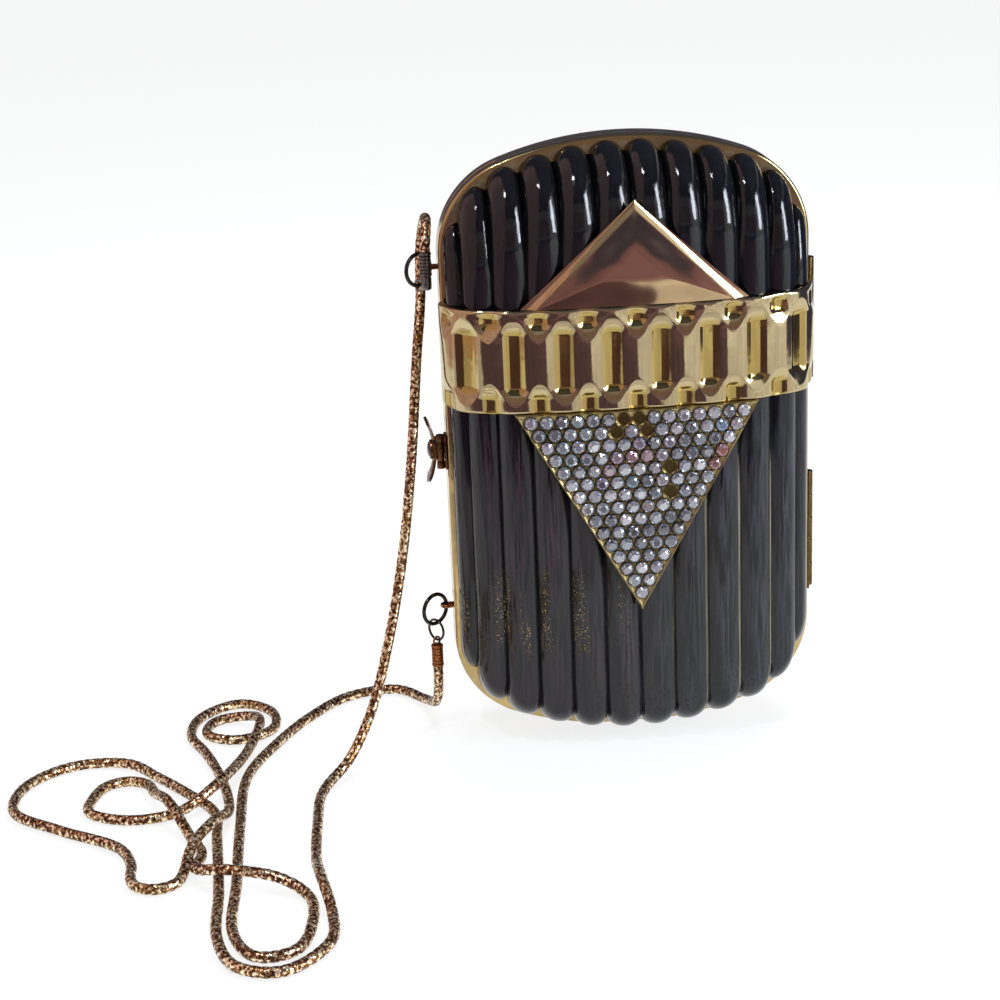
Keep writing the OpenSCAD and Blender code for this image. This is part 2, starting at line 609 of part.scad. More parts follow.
// Woven strap: out of the upper cap, over the ring and down behind it, round its loops on the table,
// and up into the lower cap. The points are chosen by hand.
strap_route = concat([upper_cap_at + [0, 0, cap_l]],
    [[-52.9, -1.1, 143.4], [-52.2, 3, 145.4], [-52.4, 7, 143.6], [-53.2, 8.8, 139.4], [-54, 8.5, 133.5],
    [-54.4, 6.6, 125], [-56.9, -1, 108.7], [-60, -6, 81.8], [-64, -8.5, 55], [-69, -13.5, 34],
    [-75, -19.5, 16], [-82, -26.5, 5], [-89.5, -37, 1.4], [-92, -58, 1.4], [-92.8, -78, 1.6],
    [-92, -92, 4.6], [-89.8, -106, 1.6], [-90.8, -120, 1.4], [-102, -131.5, 1.4], [-112.5, -128, 1.4],
    [-117.2, -115, 1.4], [-117.2, -90, 1.4], [-118, -60, 1.4], [-118.6, -46, 1.4], [-126, -33, 1.4],
    [-134.5, -21, 1.4], [-143, -10.5, 1.4], [-158, -9.5, 1.4], [-170, -20, 1.4], [-172, -36, 1.4],
    [-159, -49, 1.4], [-143, -62, 1.4], [-139, -76, 1.4], [-135, -86, 1.4], [-129, -87, 1.4],
    [-126.4, -79, 2], [-123.6, -69, 4.6], [-118.4, -58.5, 5.4], [-115, -46, 1.8], [-116.8, -27, 1.4],
    [-121.5, -8, 1.4], [-126, 5, 1.4], [-123.4, 17.5, 1.4], [-112.5, 25.5, 1.4], [-103, 18, 1.4],
    [-103, 5, 1.4], [-113, -0.4, 1.4], [-121.6, 5, 1.4], [-118.6, 14.4, 1.4], [-109.5, 13.8, 2.4],
    [-106.2, 3.6, 5], [-109.3, -9.5, 3], [-113.2, -23.5, 4], [-118.2, -37.5, 5.6], [-127.5, -44.5, 2],
    [-141, -46.4, 1.4], [-152, -40, 1.4], [-151, -27.5, 1.4], [-141.5, -22, 1.4], [-135.6, -31, 2.2],
    [-130.4, -45.5, 5.4], [-125, -58.5, 1.6], [-121.6, -69, 1.4], [-123.2, -79.4, 2.6], [-115.5, -86, 5.2],
    [-103, -88.5, 3.4], [-95.4, -95.5, 1.4], [-94.6, -109, 1.4], [-99, -122.5, 1.4], [-108, -124, 1.4],
    [-113.4, -113, 1.4], [-112.8, -86, 1.4], [-112, -55, 1.4], [-110, -25, 1.4], [-102.4, -6, 1.4],
    [-92, 12, 1.4], [-80, 25, 1.4], [-66, 27.5, 1.4], [-58.5, 17, 2.2], [-55.6, 5.5, 6.4]],
    [lower_cap_top - [0, 0, cap_l + strap_d], lower_cap_top - [0, 0, cap_l]]);
strap_sides = 8;

function unit(v) = v / norm(v);
route_n = len(strap_route);
route_dir = [for (i = [0 : route_n - 1])
    i == 0 ? [0, 0, 1] : i == route_n - 1 ? [0, 0, 1]
        : unit(unit(strap_route[i + 1] - strap_route[i]) + unit(strap_route[i] - strap_route[i - 1]))];
// Carries a side direction along the route without twist
function carry(side, d) = unit(side - (side * d) * d);
route_side = [for (i = 0, v = [1, 0, 0]; i < route_n; i = i + 1,
    v = i < route_n ? carry(v, route_dir[i]) : v) v];
module chain_strap() {
    r = strap_d / 2;
    pts = [for (i = [0 : route_n - 1], k = [0 : strap_sides - 1])
        let (a = 2 * half_turn * k / strap_sides, u = route_side[i], w = cross(route_dir[i], u))
        strap_route[i] + r * (cos(a) * u + sin(a) * w)];
    walls = [for (i = [0 : route_n - 2], k = [0 : strap_sides - 1])
        let (a = i * strap_sides + k, b = i * strap_sides + (k + 1) % strap_sides)
        each [[a, b, b + strap_sides], [a, b + strap_sides, a + strap_sides]]];
    color("#9a6a48") polyhedron(points = pts, faces = concat(
        [[for (k = [0 : strap_sides - 1]) k]],
        [for (f = walls) [f[2], f[1], f[0]]],
        [[for (k = [strap_sides - 1 : -1 : 0]) (route_n - 1) * strap_sides + k]]));
}

back_frame();
back_shell();
back_lining();
front_frame();
front_shell();
front_lining();
gold_band();
crest_plate();
pave_tray();
pave_stones();
hinge_leaf_back_upper();
hinge_leaf_back_lower();
hinge_leaf_front_upper();
hinge_leaf_front_lower();
hinge_pin_upper();
hinge_pin_lower();
clasp_bracket();
clasp_pin();
clasp_spring();
clasp_catch();
clasp_bow();
clasp_bezel();
clasp_cabochon();
ring_lug_upper();
ring_lug_lower();
strap_ring_upper();
strap_ring_lower();
lower_link();
end_cap_upper();
end_cap_lower();
chain_strap();
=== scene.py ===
"""An upright evening case with fluted black shells in gold frames, a stone-set front and a woven strap.

Each operator builds one piece, or one group of like pieces, round the frame that is loaded first.
Lengths are in metres, +Z is up, the decorated front faces -Y and the hinges are at +X.
"""
import bisect
import math
import random
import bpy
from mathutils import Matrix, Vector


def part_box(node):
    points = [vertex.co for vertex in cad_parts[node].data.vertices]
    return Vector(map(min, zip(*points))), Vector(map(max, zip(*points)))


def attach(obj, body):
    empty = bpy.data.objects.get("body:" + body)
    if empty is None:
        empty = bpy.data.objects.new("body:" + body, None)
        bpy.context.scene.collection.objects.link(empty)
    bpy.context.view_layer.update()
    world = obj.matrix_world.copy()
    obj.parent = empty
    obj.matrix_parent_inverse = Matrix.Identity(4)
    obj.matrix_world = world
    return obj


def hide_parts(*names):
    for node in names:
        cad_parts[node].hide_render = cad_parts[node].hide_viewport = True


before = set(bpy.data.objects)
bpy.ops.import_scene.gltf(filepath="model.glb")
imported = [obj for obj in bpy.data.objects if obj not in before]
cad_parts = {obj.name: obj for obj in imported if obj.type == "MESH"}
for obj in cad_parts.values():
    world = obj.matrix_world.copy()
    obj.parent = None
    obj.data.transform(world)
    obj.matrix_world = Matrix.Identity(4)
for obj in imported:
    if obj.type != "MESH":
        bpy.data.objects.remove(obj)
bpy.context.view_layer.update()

from types import SimpleNamespace

import bmesh
import bpy
from bpy.props import FloatProperty, FloatVectorProperty, IntProperty, PointerProperty
from mathutils import Matrix, Vector

bl_info = {
    "name": "Minaudiere",
    "version": (1, 0, 0),
    "blender": (4, 5, 0),
    "location": "View3D > Sidebar > Minaudiere",
    "description": "Builds a fluted evening case with a stamped gold band, set stones and a woven strap",
    "category": "Object",
}

MM = 0.001


def linear(code):
    """An sRGB hex colour as linear red, green and blue."""
    parts = [int(code[i : i + 2], 16) / 255 for i in (1, 3, 5)]
    return tuple(c / 12.92 if c <= 0.04045 else ((c + 0.055) / 1.055) ** 2.4 for c in parts)


def length(name, default, description):
    """A property for a length in metres."""
    return FloatProperty(name=name, description=description, default=default, min=0.0, precision=5,
                         subtype="DISTANCE", unit="LENGTH")


def tone(name, code, description):
    """A property for a colour, given as sRGB hex."""
    return FloatVectorProperty(name=name, description=description, default=linear(code), min=0.0, max=1.0,
                               size=3, subtype="COLOR")


class CaseSizes(bpy.types.PropertyGroup):
    """Sizes of the frames and shells."""

    end_radius: length("End radius", 97 * MM, "Radius of the rounded top and bottom ends")
    corner_radius: length("Corner radius", 25.6 * MM, "Radius of the four corners")
    foot_cut: length("Foot cut", 0.9 * MM, "Depth cut away under the lower end")
    frame_wall: length("Frame wall", 1.4 * MM, "Thickness of a frame's outer wall")
    flange: length("Flange", 1.2 * MM, "Thickness of the flange that carries a shell")
    rim_round: length("Rim rounding", 0.9 * MM, "Radius of the frame's polished outer edge")
    gold_margin: length("Gold margin", 1 * MM, "Width of gold that shows round a shell")
    tip_inset: length("Tip inset", 0.3 * MM, "Gold beyond the flute tips, over and above the margin")
    shell_rise: length("Shell rise", 16.6 * MM, "Height of a shell above its frame")
    shell_wall: length("Shell wall", 1.4 * MM, "Thickness of a shell under a groove")
    flutes: IntProperty(name="Flutes", description="Flutes across a shell", default=12, min=4, max=24)
    groove: length("Groove depth", 1.9 * MM, "Depth of the grooves between flutes")
    crown_power: FloatProperty(name="Crown fullness", description="2 is an ellipse, more is squarer",
                               default=2.8, min=2.0, max=4.0)
    end_round: length("End rounding", 20 * MM, "Depth over which the ends of a shell round over")
    tip_drop: length("Tip drop", 4.4 * MM, "How far a groove ends short of the flute tips")
    foot_round: length("Foot rounding", 8 * MM, "Depth over which the lower ends of the flutes round over")
    foot_inset: length("Foot inset", 1.1 * MM, "Gold beyond the lower tips, over and above the margin")
    foot_drop: length("Foot drop", 2.6 * MM, "How far a groove ends short of the flutes' lower tips")
    lining: length("Lining", 0.7 * MM, "Thickness of the lining")
    lining_gap: length("Lining gap", 0.5 * MM, "Space between the lining and its shell")


class OrnamentSizes(bpy.types.PropertyGroup):
    """Sizes of the band, the two triangles and the stones."""

    links: IntProperty(name="Links", description="Pockets along the band", default=8, min=2, max=16)
    link_pitch: length("Link pitch", 12.9 * MM, "Distance between pockets along the curve")
    pocket_w: length("Pocket width", 5.4 * MM, "Width of a pocket in the band")
    pocket_h: length("Pocket height", 17.4 * MM, "Height of a pocket in the band")
    band_t: length("Band thickness", 1.4 * MM, "Thickness of the band on the crowns of the flutes")
    link_round: length("Link rounding", 3.75 * MM, "Reach of the rounding beside a pocket")
    link_swell: length("Link swell", 0.25 * MM, "Height of a link's middle above the band's thickness")
    pocket_corner: length("Pocket corner", 1.6 * MM, "Rounding of the corners of pockets and notches")
    pocket_wall: length("Pocket wall", 1.5 * MM, "Width of the steep wall inside a pocket")
    pocket_floor: length("Pocket floor", 0.12 * MM, "Thickness of the band in the middle of a pocket")
    crease: length("Pocket crease", 0.25 * MM, "Rise of a pocket's floor towards its sides")
    band_round: length("Band edge rounding", 0.9 * MM, "Rounding of the band's upper and lower edges")
    ledge: length("Ledge", 0.9 * MM, "Height of the plain ledge along the band's top")
    notch_over: length("Notch overrun", 0.8 * MM, "How far the lower notches run past the band's edge")
    plate_t: length("Plate thickness", 1.5 * MM, "Thickness of the triangle plates")
    plate_bevel: length("Plate bevel", 1.7 * MM, "Width of the upper triangle's bevelled edge")
    stone_pitch: length("Stone pitch", 4.06 * MM, "Distance between stones in a row")
    stone_rows: IntProperty(name="Stone rows", description="Rows of stones", default=15, min=3, max=20)
    stone_d: length("Stone diameter", 3.6 * MM, "Diameter of a stone")
    stone_h: length("Stone height", 1.5 * MM, "Height of a stone")
    seat_d: length("Seat depth", 0.5 * MM, "Depth of the seats that hold the stones")
    tray_rim: length("Tray rim", 0.6 * MM, "Width of the plain rim round the stones")


class StrapSizes(bpy.types.PropertyGroup):
    """Sizes of the woven strap and its rings."""

    diameter: length("Strap diameter", 2.8 * MM, "Diameter of the woven strap")
    strand: length("Strand", 1.25 * MM, "Length of one stitch of the weave along the strap")
    ring_wire: length("Ring wire", 1.1 * MM, "Thickness of a strap ring's wire")
    ring_turn: FloatProperty(name="Ring turn", description="Angle at which a ring stands forward",
                             default=math.radians(38), subtype="ANGLE")
    link_wire: length("Link wire", 0.7 * MM, "Thickness of the small link's wire")


class Finishes(bpy.types.PropertyGroup):
    """Colours of the finishes."""

    gold: tone("Gold", "#cbb27c", "Polished gold plate")
    relief: tone("Stamped gold", "#c6b58c", "Mirror gold on the stamped band")
    # painted reflection and shade: the deeper, darker yellow laid into the band's pockets
    pocket: tone("Pocket gold", "#b39c5c", "Deeper yellow gold in the band's pockets")
    tray: tone("Dull gold", "#b3a070", "Dull gold between the stones")
    # grime with painted shade, in the stones' seats and between the stones
    shade_and_grime: tone("Grime", "#4f4126", "Dark grime in the stones' seats")
    crest: tone("Triangle gold", "#c8ae84", "Polished gold of the upper triangle")
    black: tone("Black", "#08080b", "Gloss black of the shells")
    # the film and its two tints: fine scratches together with a painted reflection of the pale floor and the
    # room on the lower shell
    film: tone("Film", "#2a3036", "Grey film of fine scratches on the black")
    left_film_and_reflection: tone("Film on the left", "#2c2226", "Brown film on the left of the case")
    plum_film_and_reflection: tone("Film in patches", "#33202e", "Plum patches in the film")
    # painted highlight: the pale line painted along the right edges of the flutes on the right
    rubbed: tone("Rubbed edge", "#9c937c", "Pale rubbed edges of the flutes on the right")
    speck: tone("Specks", "#a88c52", "Gold specks where the black is rubbed through")
    stone: tone("Stone", "#c4c5c9", "Foil-backed clear stones")
    bronze: tone("Bronze", "#7a5638", "Worn clasp")
    hinge: tone("Hinge", "#6a5432", "Worn hinge brass")
    spring: tone("Spring", "#8f8f8c", "Rolled spring steel of the clasp")
    gunmetal: tone("Gunmetal", "#4a4743", "Dark ring wire")
    cap: tone("Upper cap", "#8d8983", "Grey cap at the strap's upper end")
    copper: tone("Copper", "#a4683f", "Copper-gold caps and lugs")
    strap: tone("Strap", "#8a5538", "Copper-brown woven strap")
    strap_pale: tone("Faded strap", "#a8804a", "Golden brown where the strap has faded")
    # painted shadow between the strands
    painted_strand_shadow: tone("Strap shadow", "#38221a", "Dark brown between the strap's strands")
    # painted highlight: glints painted where strands turn to the light
    strand_glint: tone("Fleck", "#ffeecb", "Bright flecks in the strap")
    lining: tone("Lining", "#2a2427", "Dark lining cloth")
    cabochon: tone("Cabochon", "#10162c", "Dark round stone on the clasp")
    floor: tone("Floor", "#eeeeee", "Plain pale floor")


# the kinds of shader node that the finishes use most, and how rough their noise is
NOISE = "ShaderNodeTexNoise"
SPREAD = "ShaderNodeMapRange"
MIX = "ShaderNodeMix"
MATH = "ShaderNodeMath"
LUMPS = 0.55


def add(tree, kind, inputs=(), **settings):
    """Adds a node with its settings. Its inputs are given by name, or as a tuple in the node's own order."""
    node = tree.nodes.new(kind)
    for key, value in settings.items():
        setattr(node, key, value)
    sockets = [socket for socket in node.inputs if socket.enabled]
    for key, value in inputs.items() if isinstance(inputs, dict) else enumerate(inputs):
        socket = sockets[key] if isinstance(key, int) else next(s for s in sockets if s.name == key)
        if isinstance(value, bpy.types.Node):
            value = next(s for s in value.outputs if s.enabled)
        if isinstance(value, bpy.types.NodeSocket):
            tree.links.new(value, socket)
        elif socket.type == "RGBA":
            socket.default_value = (*value[:3], 1.0)
        else:
            socket.default_value = value
    return node


def start(name):
    """A new material, its node tree, and object coordinates in metres."""
    finish = bpy.data.materials.new(name)
    finish.use_nodes = True
    tree = finish.node_tree
    tree.nodes.clear()
    place = add(tree, "ShaderNodeTexCoord").outputs["Object"]
    return finish, tree, place


def close(tree, inputs):
    """Ends a material's tree in a principled shader."""
    shader = add(tree, "ShaderNodeBsdfPrincipled", inputs)
    add(tree, "ShaderNodeOutputMaterial", {"Surface": shader})


def darker(colour, share):
    """The same colour, scaled down to a share of its light."""
    return tuple(c * share for c in colour[:3])


def plated_metal(name, colour, low, high, smudge, wave, tarnish=0.72, hollow=None):
    """A plated and polished metal: sharp reflections, fingers' smudges and slow waves of the plating.

    hollow is a colour laid into the hollows where the mesh's worn share is low: painted reflection and shade
    in the band's pockets, and grime with painted shade between the stones.
    """
    finish, tree, place = start(name)
    patches = add(tree, NOISE, (place, 1 / smudge, 3.0, LUMPS))
    ripples = add(tree, NOISE, (place, 3 / smudge, 1.0, LUMPS))
    smudged = add(tree, SPREAD, (patches, 0.3, 0.7, 0.0, 1.0))
    base = add(tree, MIX, (smudged, colour, darker(colour, tarnish)), data_type="RGBA")
    if hollow is not None:
        worn = add(tree, "ShaderNodeAttribute", attribute_name="worn").outputs["Fac"]
        base = add(tree, MIX, (worn, hollow, base), data_type="RGBA")
    close(tree, {
        "Base Color": base,
        "Metallic": 1.0,
        "Roughness": add(tree, SPREAD, (patches, 0.3, 0.7, low, high)),
        "Normal": add(tree, "ShaderNodeBump", {"Height": ripples, "Strength": 1.0, "Distance": wave}),
    })
    return finish


def gold_plate():
    """Gold-plated brass, buffed: a warm mirror, smeared here and there by handling."""
    return plated_metal("gold_plated_brass_buffed", colours().gold, 0.07, 0.2, 9 * MM, 0.03 * MM, 0.62)


def stamped_gold():
    """Gold-plated stamping: mirror bright, paler on its links, with a deeper yellow painted into its pockets
    as painted reflection and shade.
    """
    return plated_metal("gold_plated_stamping_bright", colours().relief, 0.05, 0.14, 12 * MM, 0.03 * MM, 0.86,
                        colours().pocket)


def crest_gold():
    """Gold-plated sheet, polished flat: a warm dark mirror with slow waves and fingers' smears."""
    return plated_metal("gold_plated_sheet_polished", colours().crest, 0.03, 0.1, 40 * MM, 0.15 * MM, 0.9)


def dull_gold():
    """Gold-plated casting left unpolished: soft light, and dark grime with painted shade between the stones.
    """
    return plated_metal("gold_plated_casting_dull", colours().tray, 0.26, 0.5, 1.2 * MM, 0.05 * MM, 0.6,
                        colours().shade_and_grime)


def clasp_metal():
    """Bronze-toned plated casting: worn bright on its high spots and brown between."""
    return plated_metal("bronze_plated_casting_worn", colours().bronze, 0.16, 0.4, 2.5 * MM, 0.08 * MM, 0.4)


def hinge_metal():
    """Drawn brass tube and strip: brushed along its length and browned by age."""
    return plated_metal("drawn_brass_aged", colours().hinge, 0.2, 0.42, 2 * MM, 0.04 * MM, 0.5)


def ring_metal():
    """Gunmetal-plated steel wire: dark and bright at once, like black nickel."""
    return plated_metal("gunmetal_plated_wire", colours().gunmetal, 0.1, 0.28, 2 * MM, 0.03 * MM, 0.5)


def cap_metal():
    """Nickel-plated brass, dulled: a soft grey that catches light on the edges of its ribs."""
    return plated_metal("nickel_plated_brass_dulled", colours().cap, 0.16, 0.34, 2 * MM, 0.03 * MM, 0.5)


def copper_metal():
    """Copper-toned plated brass: warm, with brown in its recesses."""
    return plated_metal("copper_plated_brass", colours().copper, 0.18, 0.36, 1.6 * MM, 0.05 * MM, 0.5)


def spring_metal():
    """Spring steel strip: plain grey with a soft sheen from rolling."""
    return plated_metal("rolled_spring_steel", colours().spring, 0.25, 0.4, 3 * MM, 0.02 * MM, 0.8)


def black_gloss():
    """Moulded black acrylic, polished: deep black above, and grey below the band with fine scratches and a
    painted reflection of the pale floor.
    """
    finish, tree, place = start("moulded_acrylic_gloss_black")
    parts = add(tree, "ShaderNodeSeparateXYZ", (place,)).outputs
    # scratches run down the flutes, 0.7 mm apart, coarser than real ones so that they show
    drawn = add(tree, "ShaderNodeMapping", {"Vector": place, "Scale": (1.0, 1.0, 0.05)})
    scratches = add(tree, NOISE, (drawn, 1 / (0.7 * MM), 4.0, LUMPS))
    # broader upright patches 5 mm across spread the painted reflection unevenly, and a mottle of 0.9 mm at
    # the foot paints the floor's texture into it
    upright = add(tree, "ShaderNodeMapping", {"Vector": place, "Scale": (1.0, 1.0, 0.12)})
    broad = add(tree, NOISE, (upright, 1 / (5 * MM), 2.0, LUMPS))
    mottle = add(tree, NOISE, (place, 1 / (0.9 * MM), 4.0, LUMPS))
    foot = add(tree, SPREAD, (parts["Z"], 6 * MM, 26 * MM, 1.0, 0.0))
    fine = add(tree, SPREAD, (scratches, 0.42, 0.6, 0.0, 1.15))
    mottled = add(tree, SPREAD, (mottle, 0.36, 0.52, 0.1, 1.0))
    grain = add(tree, MIX, (foot, fine, mottled), data_type="RGBA")
    # the film, fine scratches with a painted reflection of the pale floor, lies below the band, on the middle
    # of each flute, and thins out toward the grooves as painted shade
    below = add(tree, SPREAD, (parts["Z"], 86 * MM, 112 * MM, 1.0, 0.12))
    grain_in_reflection = add(tree, MATH, (grain, below), operation="MULTIPLY")
    across = add(tree, "ShaderNodeAttribute", attribute_name="across").outputs["Fac"]
    # painted shade: the film thins to a fifth toward the grooves
    inward = add(tree, SPREAD, (across, 0.3, 0.9, 1.0, 0.2))
    groove_shade_share = add(tree, MIX, (foot, inward, (0.9, 0.9, 0.9)), data_type="RGBA")
    patchy = add(tree, SPREAD, (broad, 0.3, 0.7, 0.15, 1.15))
    patchy_reflection_share = add(tree, MATH, (patchy, groove_shade_share), operation="MULTIPLY")
    scratch_and_reflection_share = add(tree, MATH, (grain_in_reflection, patchy_reflection_share), operation="MULTIPLY")
    # the painted reflection in the film is brown on the left, grey on the right and plum in patches
    rightward = add(tree, SPREAD, (parts["X"], -30 * MM, 30 * MM, 0.0, 1.0))
    reflection_by_side = add(tree, MIX, (rightward, colours().left_film_and_reflection, colours().film), data_type="RGBA")
    plum_reflection_share = add(tree, SPREAD, (broad, 0.5, 0.7, 0.0, 0.35))
    tinted = add(tree, MIX, (plum_reflection_share, reflection_by_side, colours().plum_film_and_reflection), data_type="RGBA")
    black = add(tree, MIX, (scratch_and_reflection_share, colours().black, tinted), data_type="RGBA")
    # painted highlight: the right edges of the flutes right of the middle are painted pale, broken up by the
    # scratches
    edge = add(tree, "ShaderNodeAttribute", attribute_name="worn").outputs["Fac"]
    edge_glint_breaks = add(tree, SPREAD, (scratches, 0.3, 0.7, 0.3, 1.0))
    edge_glint_share = add(tree, MATH, (edge, edge_glint_breaks), operation="MULTIPLY")
    with_edge_glint = add(tree, MIX, (edge_glint_share, black, colours().rubbed), data_type="RGBA")
    # and specks show through, gold, on the left of the case above the lower ring
    specks = add(tree, SPREAD, (add(tree, NOISE, (place, 1 / (0.4 * MM), 4.0, LUMPS)), 0.6, 0.64, 0.0, 1.0))
    runs = add(tree, SPREAD, (add(tree, NOISE, (drawn, 1 / (3 * MM), 1.0, LUMPS)), 0.5, 0.58, 0.0, 1.0))
    over_foot = add(tree, SPREAD, (parts["Z"], 26 * MM, 36 * MM, 0.0, 1.0))
    under_clasp = add(tree, SPREAD, (parts["Z"], 44 * MM, 54 * MM, 1.0, 0.0))
    leftward = add(tree, SPREAD, (parts["X"], -12 * MM, 0.0, 1.0, 0.0))
    speckled = add(tree, MATH, (specks, runs), operation="MULTIPLY")
    high_up = add(tree, MATH, (over_foot, under_clasp), operation="MULTIPLY")
    zone = add(tree, MATH, (high_up, leftward), operation="MULTIPLY")
    speck_share = add(tree, MATH, (speckled, zone), operation="MULTIPLY")
    close(tree, {
        "Base Color": add(tree, MIX, (speck_share, with_edge_glint, colours().speck), data_type="RGBA"),
        "Roughness": add(tree, SPREAD, (scratch_and_reflection_share, 0.0, 0.8, 0.05, 0.24)),
        "IOR": 1.46,
        "Normal": add(tree, "ShaderNodeBump", {"Height": grain, "Strength": 1.0, "Distance": 0.01 * MM}),
    })
    return finish


def lining_cloth():
    """Dark woven cloth glued over card: a fine plain weave with a soft nap, and painted shade between its
    threads.
    """
    finish, tree, place = start("plain_woven_lining_cloth")
    # threads are 0.9 mm apart, about three times the real cloth's, so that the weave shows
    turn = math.tau / (0.9 * MM)
    parts = add(tree, "ShaderNodeSeparateXYZ", (place,)).outputs
    waves = []
    for axis in ("X", "Z"):
        scaled = add(tree, MATH, (parts[axis], turn), operation="MULTIPLY")
        waves.append(add(tree, MATH, (scaled,), operation="SINE"))
    weave = add(tree, MATH, waves, operation="MULTIPLY")
    lit = add(tree, SPREAD, (weave, -1.0, 1.0, 0.0, 1.0))
    # painted shade: the weave's dips are darkened to half
    between = darker(colours().lining, 0.5)
    close(tree, {
        "Base Color": add(tree, MIX, (lit, colours().lining, between), data_type="RGBA"),
        "Roughness": 0.85,
        "Sheen Weight": 0.3,
        "Normal": add(tree, "ShaderNodeBump", {"Height": weave, "Strength": 1.0, "Distance": 0.08 * MM}),
    })
    return finish


def set_stone():
    """Foil-backed cut glass: each facet carries a painted reflection, a tone from white to dark grey, mixed
    with the stone's tint and its coating's colour.
    """
    finish, tree, place = start("cut_glass_foil_backed")
    shade = add(tree, "ShaderNodeAttribute", attribute_name="shade").outputs["Color"]
    clouds = add(tree, NOISE, (place, 1 / (2.2 * MM), 1.0, LUMPS))
    close(tree, {
        "Base Color": add(tree, MIX, (1.0, shade, colours().stone), data_type="RGBA", blend_type="MULTIPLY"),
        "Metallic": 0.75,
        "Roughness": add(tree, SPREAD, (clouds, 0.3, 0.7, 0.05, 0.16)),
        "Coat Weight": 1.0,
        "Coat Roughness": 0.02,
    })
    return finish


def dark_stone():
    """Dark blue glass cabochon, fire-polished: nearly black with one clean highlight."""
    finish, tree, place = start("fire_polished_glass_dark")
    clouds = add(tree, NOISE, (place, 1 / (1.5 * MM), 2.0, LUMPS))
    dark = darker(colours().cabochon, 0.3)
    close(tree, {
        "Base Color": add(tree, MIX, (clouds, colours().cabochon, dark), data_type="RGBA"),
        "Roughness": add(tree, SPREAD, (clouds, 0.3, 0.7, 0.03, 0.09)),
        "Coat Weight": 1.0,
    })
    return finish


def woven_metal():
    """Cord woven of flat metallised wire: copper-brown, with painted shadow between strands and painted
    glints where strands turn to the light.
    """
    finish, tree, place = start("metallised_wire_woven")
    # the painted glints and the painted shadow between strands come every 0.9 mm, and the cord browns over
    # lengths of 16 mm
    fine = add(tree, NOISE, (place, 1 / (0.9 * MM), 2.0, LUMPS))
    broad = add(tree, NOISE, (place, 1 / (16 * MM), 2.0, LUMPS))
    ripples = add(tree, NOISE, (place, 1 / (0.5 * MM), 1.0, LUMPS))
    faded = add(tree, SPREAD, (broad, 0.3, 0.7, 0.0, 1.0))
    brown = add(tree, MIX, (faded, colours().strap, colours().strap_pale), data_type="RGBA")
    # painted shadow: dark brown between the strands, where the fine noise is low
    between = add(tree, SPREAD, (fine, 0.4, 0.5, 0.0, 1.0))
    worn = add(tree, MIX, (between, colours().painted_strand_shadow, brown), data_type="RGBA")
    # painted glints where the fine noise peaks
    turned = add(tree, SPREAD, (fine, 0.54, 0.58, 0.0, 1.0))
    close(tree, {
        "Base Color": add(tree, MIX, (turned, worn, colours().strand_glint), data_type="RGBA"),
        "Metallic": 0.9,
        "Roughness": add(tree, SPREAD, (fine, 0.3, 0.7, 0.42, 0.2)),
        "Normal": add(tree, "ShaderNodeBump", {"Height": ripples, "Strength": 1.0, "Distance": 0.12 * MM}),
    })
    return finish


# how much of the floor that the camera and the mirrors see is plain white, and keeps no shadow
FLOOR_WHITE_SHARE = 0.82


def seen_rays(tree):
    """1 where the camera, a mirror or glass looks on, and 0 where light only spreads."""
    rays = add(tree, "ShaderNodeLightPath").outputs
    seen = add(tree, MATH, (rays["Is Camera Ray"], rays["Is Glossy Ray"]), operation="MAXIMUM")
    return add(tree, MATH, (seen, rays["Is Transmission Ray"]), operation="MAXIMUM")


def pale_floor():
    """A sheet of matt pale card under and behind the case."""
    finish, tree, place = start("matt_card_pale")
    grain = add(tree, NOISE, (place, 1 / (4 * MM), 3.0, LUMPS))
    base = add(tree, MIX, (grain, colours().floor, darker(colours().floor, 0.97)), data_type="RGBA")
    lit = add(tree, "ShaderNodeBsdfDiffuse", {"Color": base})
    white = add(tree, "ShaderNodeEmission", {"Color": linear("#ffffff"), "Strength": 1.0})
    share = add(tree, MATH, (seen_rays(tree), FLOOR_WHITE_SHARE), operation="MULTIPLY")
    both = add(tree, "ShaderNodeMixShader", (share, lit, white))
    add(tree, "ShaderNodeOutputMaterial", {"Surface": both})
    return finish


def plain_card(name, code):
    """Matt card that only colours what the metal reflects."""
    finish, tree, place = start(name)
    clouds = add(tree, NOISE, (place, 1 / (60 * MM), 3.0, LUMPS))
    shaded = add(tree, SPREAD, (clouds, 0.3, 0.7, 0.0, 1.0))
    base = add(tree, MIX, (shaded, linear(code), darker(linear(code), 0.55)), data_type="RGBA")
    close(tree, {"Base Color": base, "Roughness": 1.0, "Specular IOR Level": 0.0})
    return finish


def ease(t):
    """Runs smoothly from 0 to 1 as t does."""
    t = min(max(t, 0.0), 1.0)
    return t * t * (3 - 2 * t)


def colours():
    """The colour properties of the scene."""
    return bpy.context.scene.case_finishes


def ornament():
    """The ornament sizes of the scene."""
    return bpy.context.scene.case_ornaments


def strap_sizes():
    """The strap sizes of the scene."""
    return bpy.context.scene.case_strap


def case():
    """The driving sizes of the case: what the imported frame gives, and what the properties add."""
    size = bpy.context.scene.case_sizes
    low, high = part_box("back_frame")
    half_w = (high[0] - low[0]) / 2
    half_h = (high[2] + size.foot_cut) / 2
    corner_x = half_w - size.corner_radius
    end_cz = half_h - size.end_radius
    corner_z = end_cz + math.sqrt((size.end_radius - size.corner_radius) ** 2 - corner_x**2)
    return SimpleNamespace(
        size=size, half_w=half_w, mid_z=half_h - size.foot_cut, frame_d=high[1], half_gap=low[1],
        corner_x=corner_x, corner_z=corner_z, end_cz=end_cz, meet=math.atan2(corner_z - end_cz, corner_x),
        shell_a=half_w - size.gold_margin, hollow=size.groove + size.shell_wall,
    )


